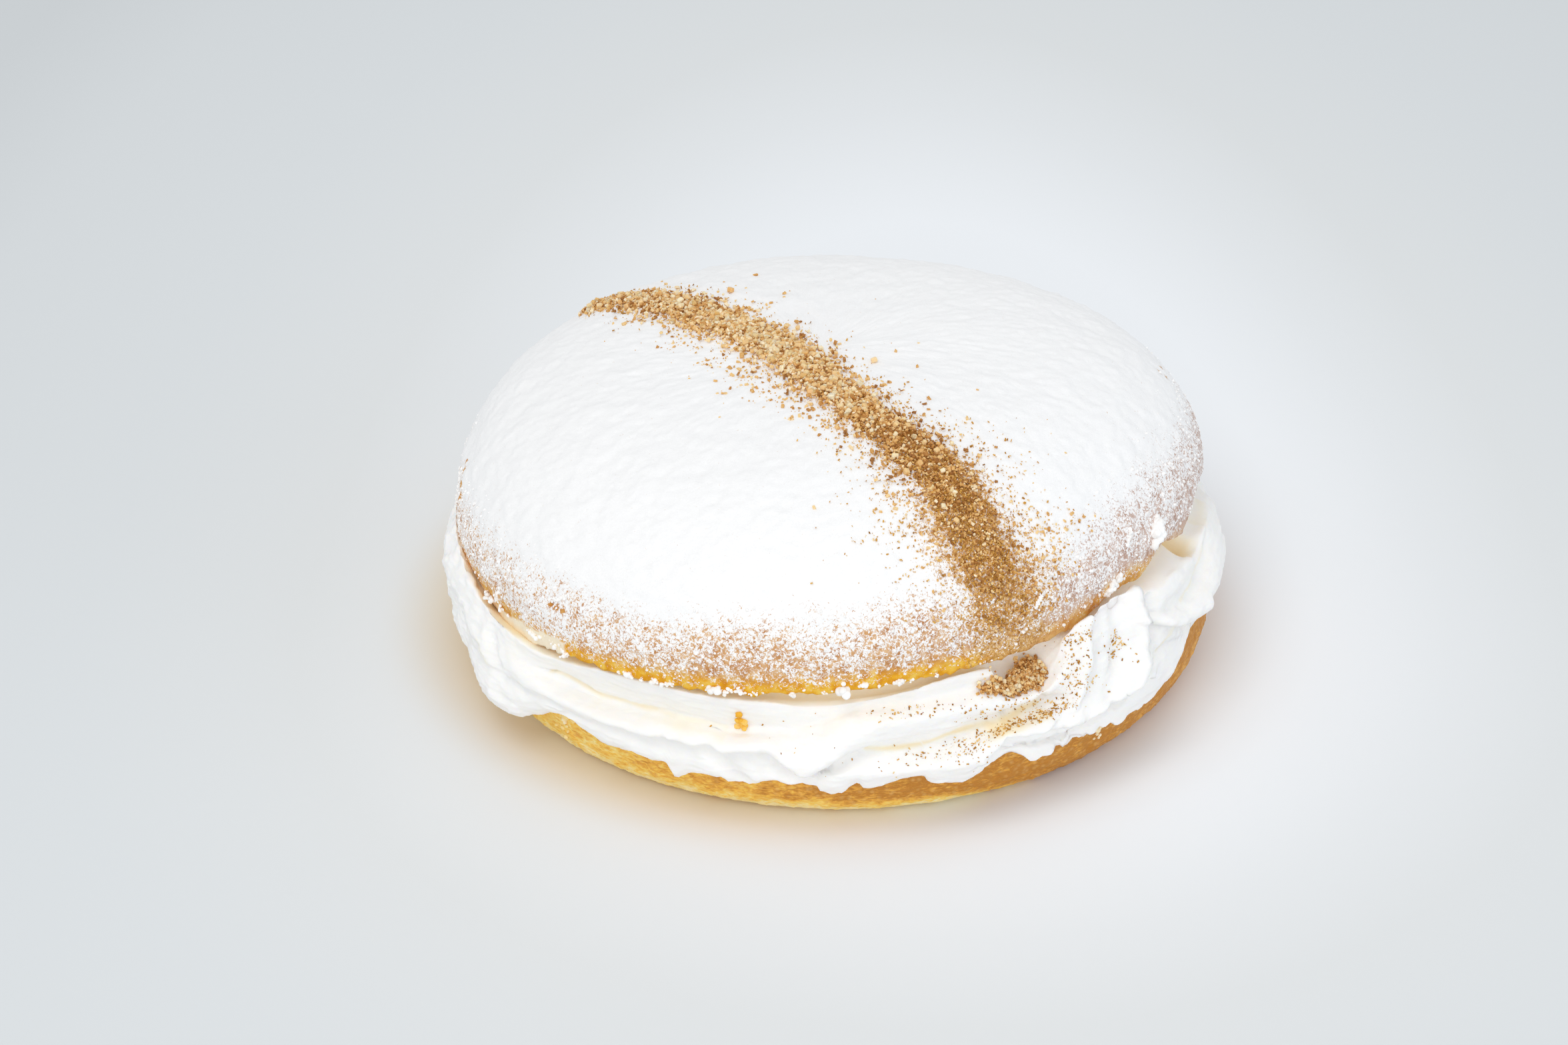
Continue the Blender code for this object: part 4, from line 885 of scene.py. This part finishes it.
BARE_SPOTS = (  # where the sugar rubbed off: place in the dome, radius
    (-49.8, -4.2, 9.8, 0.9), (-50.2, -5.4, 8.9, 1.0), (-50.4, -7.3, 7.9, 0.9),
    (-50.6, -8.8, 6.6, 1.1), (-35.6, -39.0, 6.6, 0.6), (-34.8, -39.7, 6.5, 0.6),
    (-33.8, -40.6, 6.4, 0.7), (48.8, 7.7, 13.8, 1.1), (48.3, 5.9, 14.1, 1.2),
    (49.2, 5.9, 13.0, 1.0))
DOME_COLUMNS = 576
DOME_EDGE_ROWS = 14
DOME_ARCH_ROWS = 124
BAND_STEPS = 120


def dome_point(azimuth, level):
    """Points of the dome in its own frame; level is 0 at the cut edge and 1 at the crown."""
    climb = np.clip(level / TOP_BELLY_LEVEL, 0.0, 1.0)
    angle = 0.5 * np.pi * np.clip((level - TOP_BELLY_LEVEL) / (1.0 - TOP_BELLY_LEVEL), 0.0, 1.0)
    edge = level < TOP_BELLY_LEVEL
    shrink = np.where(edge, 1.0 - 2 * TOP_CUT_INSET / TOP_WIDTH * (1 - climb) ** 2,
                      np.maximum(np.cos(angle), 0.0) ** (2.0 / TOP_SQUARENESS))
    height = np.where(edge, TOP_BELLY_HEIGHT * climb,
                      TOP_BELLY_HEIGHT + (TOP_HEIGHT - TOP_BELLY_HEIGHT) * np.sin(angle))
    lobing = 1.0 + TOP_LOBING * np.cos(3 * np.radians(azimuth - TOP_LOBE_AZIMUTH))
    heading = direction(azimuth)
    lean = (height / TOP_HEIGHT) ** 1.5
    return np.stack([
        0.5 * TOP_WIDTH * shrink * lobing * heading[..., 0] + TOP_CROWN_SHIFT[0] * lean,
        0.5 * TOP_DEPTH * shrink * lobing * heading[..., 1] + TOP_CROWN_SHIFT[1] * lean,
        height], -1)


band_line = rounded_rows(np.array(BAND_PATH, float)[:, None, :], BAND_STEPS)[:, 0]
band_widths = band_line[:, 2]
band_line = band_line[:, :2]


def band_offset(points):
    """Distance in plan from the band's middle, and how far along the band, at each point."""
    flat = points.reshape(-1, points.shape[-1])
    gaps = np.full(len(flat), np.inf)
    nearest = np.zeros(len(flat))
    for index, middle in enumerate(band_line):
        gap = np.hypot(flat[:, 0] - middle[0], flat[:, 1] - middle[1])
        closer = gap < gaps
        gaps = np.where(closer, gap, gaps)
        nearest = np.where(closer, index / BAND_STEPS, nearest)
    return gaps.reshape(points.shape[:-1]), nearest.reshape(points.shape[:-1])


def band_half_width(along):
    """The band's half width at each share of its length."""
    return np.interp(along, np.linspace(0.0, 1.0, BAND_STEPS + 1), band_widths)


columns = 360.0 * np.arange(DOME_COLUMNS) / DOME_COLUMNS
arch = np.arange(1, DOME_ARCH_ROWS + 1) / (DOME_ARCH_ROWS + 1)
levels = np.concatenate([np.linspace(0.0, TOP_BELLY_LEVEL, DOME_EDGE_ROWS),
                         TOP_BELLY_LEVEL + (1.0 - TOP_BELLY_LEVEL) * arch ** 0.92])
azimuths = np.broadcast_to(columns, (len(levels), DOME_COLUMNS))
shell = dome_point(azimuths, np.broadcast_to(levels[:, None], azimuths.shape))
outward = shell * np.array([1.0, 1.0, 1.4])
outward /= np.linalg.norm(outward, axis=-1, keepdims=True)
gap, along = band_offset(shell)
heap = hump(gap, 1.5 * band_half_width(along)) * (0.7 + 0.6 * waviness(shell, 0.35))
rise = BAND_RISE * heap + 0.25 * waviness(shell, 0.09) * (levels > 0.2)[:, None]
shell = shell + outward * rise[..., None]
fade = np.maximum(0.0, 1.0 - shell[..., 2] / TEAR_REACH)
bulge = BULGE[2] * hump(turned(azimuths, BULGE[0]), BULGE[1])
torn = sum(lift * hump(turned(azimuths, centre), half_width)
           for centre, half_width, lift in TEARS)
shell += direction(azimuths) * (bulge * fade - 0.45 * torn * fade ** 2)[..., None]
shell[..., 2] += torn * fade
# At the left the soft inside hangs below the torn crust in a strip.
hanging = hump(turned(azimuths, SAG[0]), SAG[1]) * np.maximum(0.0, 1.0 - levels / 0.10)[:, None]
shell[..., 2] -= SAG[2] * hanging
shell -= direction(azimuths) * (0.4 * hanging)[..., None]
# The cut edge crumbled a little, and torn bits of it show.
ragged = np.maximum(0.0, 1.0 - levels / 0.05)[:, None] ** 2
shell[..., 2] += ragged * (0.45 * waviness(shell * [1, 1, 0], 0.5)
                           + 0.25 * waviness(shell * [1, 1, 0], 1.4))
edge = shell[0]
under = [edge * np.array([share, share, 0.0]) + UP * edge[:, 2:] * keep
         for share, keep in ((0.5, 0.0), (0.85, 0.0), (0.93, 0.1), (0.955, 0.35), (0.975, 0.7),
                             (0.99, 0.95))]
dome, row = moulded_round("dusted_top_half", np.concatenate([under, shell]), (0, 0, 0),
                          dome_point(np.array(0.0), np.array(1.0)))
own = vectors_of(dome, "co") / MM
own_azimuth = azimuth_of(own)
outside = (row > len(under)).astype(float)
relief(dome, "CLOUDS", 5.0, 0.55, outside * smooth_step(own[:, 2], 2.0, 5.0))
relief(dome, "CLOUDS", 1.8, 0.40, outside)
relief(dome, "CLOUDS", 0.9, 0.22, outside)
gap, along = band_offset(own)
width = band_half_width(along)
beyond = 1 - smooth_step(along, 0.985, 1.0) * smooth_step(gap, 6.0, 9.0)
near_end = smooth_step(along, 0.72, 0.95)
share = gap / width + (0.40 + 0.10 * near_end) * (waviness(own, 0.35) + 1.2 * waviness(own, 0.9))
cinnamon = 1.05 * (1 - smooth_step(share, 0.30, 1.20 + 1.0 * near_end)) * beyond * outside
cinnamon *= np.interp(along, *BAND_STRENGTH)
# At the front it spreads out over the edge.
spread = np.hypot(own[:, 0] - SPILL[0], own[:, 1] - SPILL[1]) + 2.0 * waviness(own, 0.4)
cinnamon = np.maximum(cinnamon, 0.60 * hump(spread, SPILL[2]) * (own[:, 2] < SPILL[3]) * outside)
opaque = np.interp(own_azimuth, *np.array(POWDER_LINE, float).T)
lift = own[:, 2] / opaque
powder = np.interp(lift, *POWDER_COVER)
powder += 0.07 * waviness(own, 0.30) + 0.05 * waviness(own, 0.12)
powder += 0.07 * smooth_step(-own_azimuth, 20.0, 45.0) * (1 - smooth_step(lift, 0.6, 1.1))
powder += 0.05 * smooth_step(-own_azimuth, 58.0, 70.0) * (1 - smooth_step(lift, 0.2, 0.6))
rubbed = np.zeros(len(own))
for spot in BARE_SPOTS:
    rubbed = np.maximum(rubbed, hump(np.linalg.norm(own - np.array(spot[:3]), axis=1), spot[3]))
powder -= 0.6 * rubbed
powder = np.where(outside > 0, powder, 0.0)
paint(dome, "powder", powder)
paint(dome, "cinnamon", cinnamon)
bared = np.interp(own_azimuth, *np.array(CRUMB_LINE).T) + 0.5 * waviness(own, 0.6)
bared = smooth_step(bared - own[:, 2], -0.1, 0.15)
# At the far left the bare crumb is painted half over with the edge's orange, as painted warm
# reflection in the gap above the cream.
bared *= 1 - 0.5 * smooth_step(-own_azimuth, 55.0, 60.0)
paint(dome, "crumb", np.maximum(bared, 1 - smooth_step(row.astype(float), len(under) - 1.0,
                                                       len(under) + 1.0)))
low = own[:, 2] + 0.5 * waviness(own, 0.5) - 1.6 * hump(own_azimuth - 52.0, 14.0)
orange = 1 - smooth_step(low, 1.2, 3.8)
orange *= np.interp(own_azimuth, *RIM_ORANGE)
paint(dome, "rim", np.maximum(orange, 0.5 * rubbed))
paint(dome, "rosy", smooth_step(own_azimuth, 5.0, 55.0) * (1 - smooth_step(own_azimuth, 150, 178)))
fresh = (vectors_of(dome, "co") / MM) @ TOP_TURN.T + TOP_CENTRE
dome.data.vertices.foreach_set("co", (fresh * MM).ravel())

# Icing sugar on baked crust: dry powder that clumps and hides the crust, matt like chalk.  The
# crust under it is tan, orange where the cut edge caught the heat, and rosier at the right; at the
# far left the pale crumb is mixed with that orange as a painted warm reflection from the gap.
dusted, tree, shader = blank_finish("icing_sugar_on_crust")
place = add_node(tree, "TexCoord").outputs["Object"]
powder_at, cinnamon_at, rim_at, rosy_at, crumb_at = [
    add_node(tree, "Attribute", attribute_name=name).outputs["Fac"]
    for name in ("powder", "cinnamon", "rim", "rosy", "crumb")]
clumps = add_node(tree, "TexNoise", {  # clumps of powder, 0.4 mm
    "Vector": place, "Scale": 2500.0, "Detail": 4.0, "Roughness": 0.7, "Distortion": 0.8})
drifts = add_node(tree, "TexNoise", {  # drifts of powder, 2 mm
    "Vector": place, "Scale": 480.0, "Detail": 2.0})
skin_patches = add_node(tree, "TexNoise", {  # browning in patches of about 1.5 mm
    "Vector": place, "Scale": 700.0, "Detail": 3.0})
spice = add_node(tree, "TexNoise", {  # ground cinnamon, drawn at 0.4 mm
    "Vector": place, "Scale": 2600.0, "Detail": 2.0, "Roughness": 0.7})
tan_skin, orange_skin, rosy_skin = [
    add_node(tree, "ValToRGB", {"Fac": skin_patches}, zip((0.3, 0.5, 0.7), colours))
    for colours in (("#B87C48", "#D09C66", "#E4BE92"), ("#D98E0C", "#EBAC22", "#F3CA56"),
                    ("#B49282", "#C8AA9C", "#DCC8BE"))]
spice_tone = add_node(tree, "ValToRGB", {"Fac": spice}, (
    (0.28, "#8C5C28"), (0.42, "#BC8644"), (0.58, "#DCAE6A"), (0.75, "#F0D4A4")))
cover = uneven(tree, uneven(tree, powder_at, clumps, 1.5), drifts, 0.3)
spiced = uneven(tree, cinnamon_at, clumps, -2.2)
snow_mask, spice_mask = [
    add_node(tree, "MapRange", {"Value": level, "From Min": low, "From Max": high})
    for level, low, high in ((cover, 0.42, 0.58), (spiced, 0.38, 0.62))]
# Each of these lies over the ones before it, where its share says.
skin = tan_skin
for share, over in ((rosy_at, rosy_skin), (rim_at, orange_skin), (snow_mask, linear("#F9F9FA")),
                    (spice_mask, spice_tone), (crumb_at, linear("#FCEFD6"))):
    skin = add_node(tree, "Mix", {0: share, 6: skin, 7: over}, data_type="RGBA")
dullness = add_node(tree, "MapRange", {"Value": snow_mask, "To Min": 0.6, "To Max": 0.95})
powdery = add_node(tree, "Bump", {"Height": cover, "Strength": 0.35, "Distance": 0.0002})
plug(shader, {"Base Color": skin, "Roughness": dullness, "Normal": powdery,
              "Specular IOR Level": 0.2})
dome.data.materials.append(dusted)
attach(dome, "root")
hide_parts("bun_top")

# ------------------------------------------------------------------------------------------------
# Lumps of icing sugar: the sieved powder clumped in places, in soft white balls on the crust's
# edge, and in thousands of tiny ones where the dusting thins out.  They cling to the crust.
LUMPS = (  # azimuth, size, height above the cut
    (-60, 1.2, 0.4), (-42, 0.9, 0.3), (-28, 1.1, 0.2), (-24, 0.8, 0.3), (-15, 1.5, 0.6),
    (-11, 1.1, 0.4), (-4, 1.0, 0.2), (3, 1.8, 0.6), (6, 1.1, 0.6))
FLAKES = (  # ends of long flakes, azimuth and height, and thickness
    (47.4, 2.2, 50.2, 4.0, 1.7), (59.6, 5.4, 61.2, 7.6, 2.6), (33.0, 6.0, 34.5, 7.2, 0.8),
    (53.0, 7.4, 55.0, 9.0, 0.8), (-42.0, 7.4, -39.6, 8.4, 0.9), (-58.0, 0.6, -57.4, 2.2, 0.9))
FLAKE_LUMPS = 40  # along each of them
RIM_CRUMBS = 84  # tiny lumps all along the edge
RIM_GROUPS = 26  # places where they lie together
CLUMP_COUNT = 4200
OUTSIDE = 80.0  # rays start here, well outside the dome
dome_skin = skin_of(dome)


def cast_at_side(azimuth, height):
    """Rays at the dome's side, level with its cut face, from outside."""
    starts = direction(azimuth) * OUTSIDE + UP * height[:, None]
    return cast(dome_skin, starts @ TOP_TURN.T + TOP_CENTRE, -direction(azimuth) @ TOP_TURN.T)[:2]


# Icing sugar pressed into lumps by its own weight: dry, matt, pure white.
packed_sugar = grain_finish("packed_icing_sugar", ((0.0, "#F4F2F0"), (1.0, "#FFFFFF")), 0.2, {
    "Roughness": 0.95, "Specular IOR Level": 0.15})
ball_shapes = grain_shapes(2, 4, (1.0, 1.0, 0.85), 0.04)
clump_shapes = grain_shapes(1, 6, (1.0, 0.9, 0.7), 0.08)
dice = np.random.default_rng(17)
lumps = []  # centre, size and normal of each
groups = dice.uniform(-62.0, 24.0, RIM_GROUPS)[dice.integers(0, RIM_GROUPS, RIM_CRUMBS)]
tiny = zip(groups + dice.normal(0.0, 0.8, RIM_CRUMBS), 0.3 + 0.7 * dice.random(RIM_CRUMBS) ** 2,
           dice.uniform(-0.05, 0.45, RIM_CRUMBS))
for azimuth, size, height in LUMPS + tuple(tiny):
    place, normal = cast_at_side(np.array([float(azimuth)]), np.array([height + 0.1]))
    if not len(place):
        continue
    for _ in range(7 if size > 0.8 else 3):
        share = dice.uniform(0.35, 0.75)
        centre = (place[0] + normal[0] * size * 0.22
                  + dice.normal(size=3) * size * 0.22 * np.array([1.2, 1.2, 0.8]))
        lumps.append((centre, size * share, normal[0]))
for start, start_height, end, end_height, size in FLAKES:
    for share in np.linspace(0.0, 1.0, FLAKE_LUMPS):
        place, normal = cast_at_side(np.array([start + (end - start) * share]), np.array([
            start_height + (end_height - start_height) * share]))
        centre = place[0] + normal[0] * size * 0.12 + dice.normal(size=3) * size * 0.13
        lumps.append((centre, size * dice.uniform(0.34, 0.54), normal[0]))
centres, sizes, normals = [np.array(values) for values in zip(*lumps)]
strewn("rim_sugar_lumps", ball_shapes, centres, sizes, laid_turns(normals, 0.5),
       dice.random(len(sizes)), packed_sugar)
azimuth = dice.uniform(-180.0, 180.0, CLUMP_COUNT)
opaque = np.interp(azimuth, *np.array(POWDER_LINE, float).T)
places, normals = cast_at_side(azimuth, opaque * np.clip(dice.normal(0.62, 0.26, CLUMP_COUNT),
                                                         0.03, 1.3))
sizes = 0.18 + 0.4 * dice.random(len(places)) ** 3
strewn("dusting_clumps", clump_shapes, places + normals * sizes[:, None] * 0.15, sizes,
       laid_turns(normals, 0.3), dice.random(len(places)), packed_sugar)

# ------------------------------------------------------------------------------------------------
# The band of cinnamon sugar: coarse sugar stirred with ground cinnamon and sprinkled by hand over
# the icing sugar, coarser in the middle of the dome and finer and browner down the front.
BAND_CHIPS = 8300
BAND_CRYSTALS = 1300
BAND_DUST = 16000
STRAY_CHIPS = 650
BAND_CORE = 0.7  # share of the half width where most grains lie
BAND_TAIL = 0.62  # spread of the others, in half widths
BAND_WAVES = 45.0  # waves of its edges along its length, about
OVERHEAD = 60.0  # grains drop from here, above the dome's cut face
STRAY_SPOTS = (  # small scatters beside the band: plan, spread, count
    (-18.5, 3.0, 1.8, 40), (-9.3, -10.9, 1.8, 36), (-6.0, -14.0, 1.5, 30), (-1.9, -19.2, 1.4, 26),
    (1.5, -22.8, 1.5, 22), (-13.0, -5.0, 2.0, 26), (24.0, -44.5, 2.4, 130),
    (28.5, -42.5, 2.2, 130), (35.6, -32.3, 0.8, 7), (33.2, -33.4, 0.4, 3), (30.5, -37.0, 1.6, 60),
    (30.5, -41.0, 1.8, 90), (16.0, -43.5, 1.6, 50), (12.0, -37.5, 1.6, 40))


def dropped(spots):
    """Where grains dropped on the dome at places in its plan land, and which of them do."""
    starts = np.concatenate([spots, np.full((len(spots), 1), OVERHEAD)], 1)
    return cast(dome_skin, starts @ TOP_TURN.T + TOP_CENTRE, np.tile(-TOP_NORMAL, (len(spots), 1)))


def band_spots(along, spread):
    """Places across the band at each share of its length, with a thin tail on both sides."""
    count = len(along)
    step = along * BAND_STEPS
    index = np.clip(step.astype(int), 0, BAND_STEPS - 1)
    middle = band_line[index] + (band_line[index + 1] - band_line[index]) * (step - index)[:, None]
    run = band_line[np.minimum(index + 2, BAND_STEPS)] - band_line[np.maximum(index - 2, 0)]
    aside = np.stack([-run[:, 1], run[:, 0]], -1) / np.linalg.norm(run, axis=1, keepdims=True)
    across = np.where(dice.random(count) < 0.55, dice.uniform(-BAND_CORE, BAND_CORE, count),
                      dice.normal(0.0, spread, count))
    # Each of its two edges wavers in its own way.
    edge_at = np.stack([along * BAND_WAVES, 3.0 * np.sign(across), np.zeros(count)], -1)
    ragged = 0.55 * waviness(edge_at, 1.0) + 0.50 * waviness(edge_at, 0.35, (0.0, 2.0, 0.0))
    width = band_half_width(along) * (1.0 + ragged)
    places, normals, met = dropped(middle + aside * (across * width)[:, None])
    return places, normals, along[met]


dice = np.random.default_rng(23)
places, normals, along = band_spots(dice.random(BAND_CHIPS) ** 0.95 * 0.99, BAND_TAIL)
sizes = (0.26 + 0.42 * dice.random(len(places)) ** 1.5) * np.interp(
    along, (0.0, 0.2, 0.5, 0.75, 1.0), (0.85, 1.05, 1.05, 0.85, 0.55))
centres = places + normals * (dice.random(len(places)) ** 1.6 * 0.55)[:, None]
shades = np.clip(dice.normal(0.56, 0.38, len(places)) - 0.25 * smooth_step(along, 0.5, 0.8), 0, 1)
strewn("band_sugar_chips", chip_shapes, centres, sizes, laid_turns(normals, 0.7), shades,
       coated_sugar)
along = np.clip(dice.normal(0.36, 0.2, BAND_CRYSTALS), 0.02, 0.95)
places, normals, along = band_spots(along, BAND_TAIL)
sizes = 0.35 + 0.65 * dice.random(len(places)) ** 3
centres = places + normals * (0.15 + 0.5 * dice.random(len(places)))[:, None]
strewn("band_sugar_crystals", crystal_shapes, centres, sizes, laid_turns(normals, 0.6),
       dice.random(len(places)), clear_sugar)
along = (1.0 - dice.random(BAND_DUST) ** 1.5) * 0.99
places, normals, along = band_spots(along, np.interp(along, (0.6, 0.9), (0.80, 1.3)))
sizes = 0.11 + 0.23 * dice.random(len(places)) ** 2
centres = places + normals * (dice.random(len(places)) * 0.3)[:, None]
strewn("band_cinnamon_dust", splinter_shapes, centres, sizes, laid_turns(normals, 0.6),
       np.clip(dice.normal(0.6, 0.25, len(places)), 0, 1), bark)
places, normals, along = band_spots(dice.random(STRAY_CHIPS) * 0.95, 1.5)
scattered = dropped(np.concatenate([
    dice.normal((x, y), spread, (count, 2)) for x, y, spread, count in STRAY_SPOTS]))
places = np.concatenate([places, scattered[0]])
normals = np.concatenate([normals, scattered[1]])
sizes = 0.12 + 0.42 * dice.random(len(places)) ** 2.6
strewn("stray_sugar_chips", chip_shapes, places + normals * sizes[:, None] * 0.2, sizes,
       laid_turns(normals, 0.5), 0.15 + 0.7 * dice.random(len(places)), coated_sugar)

bpy.ops.object.select_all(action="DESELECT")
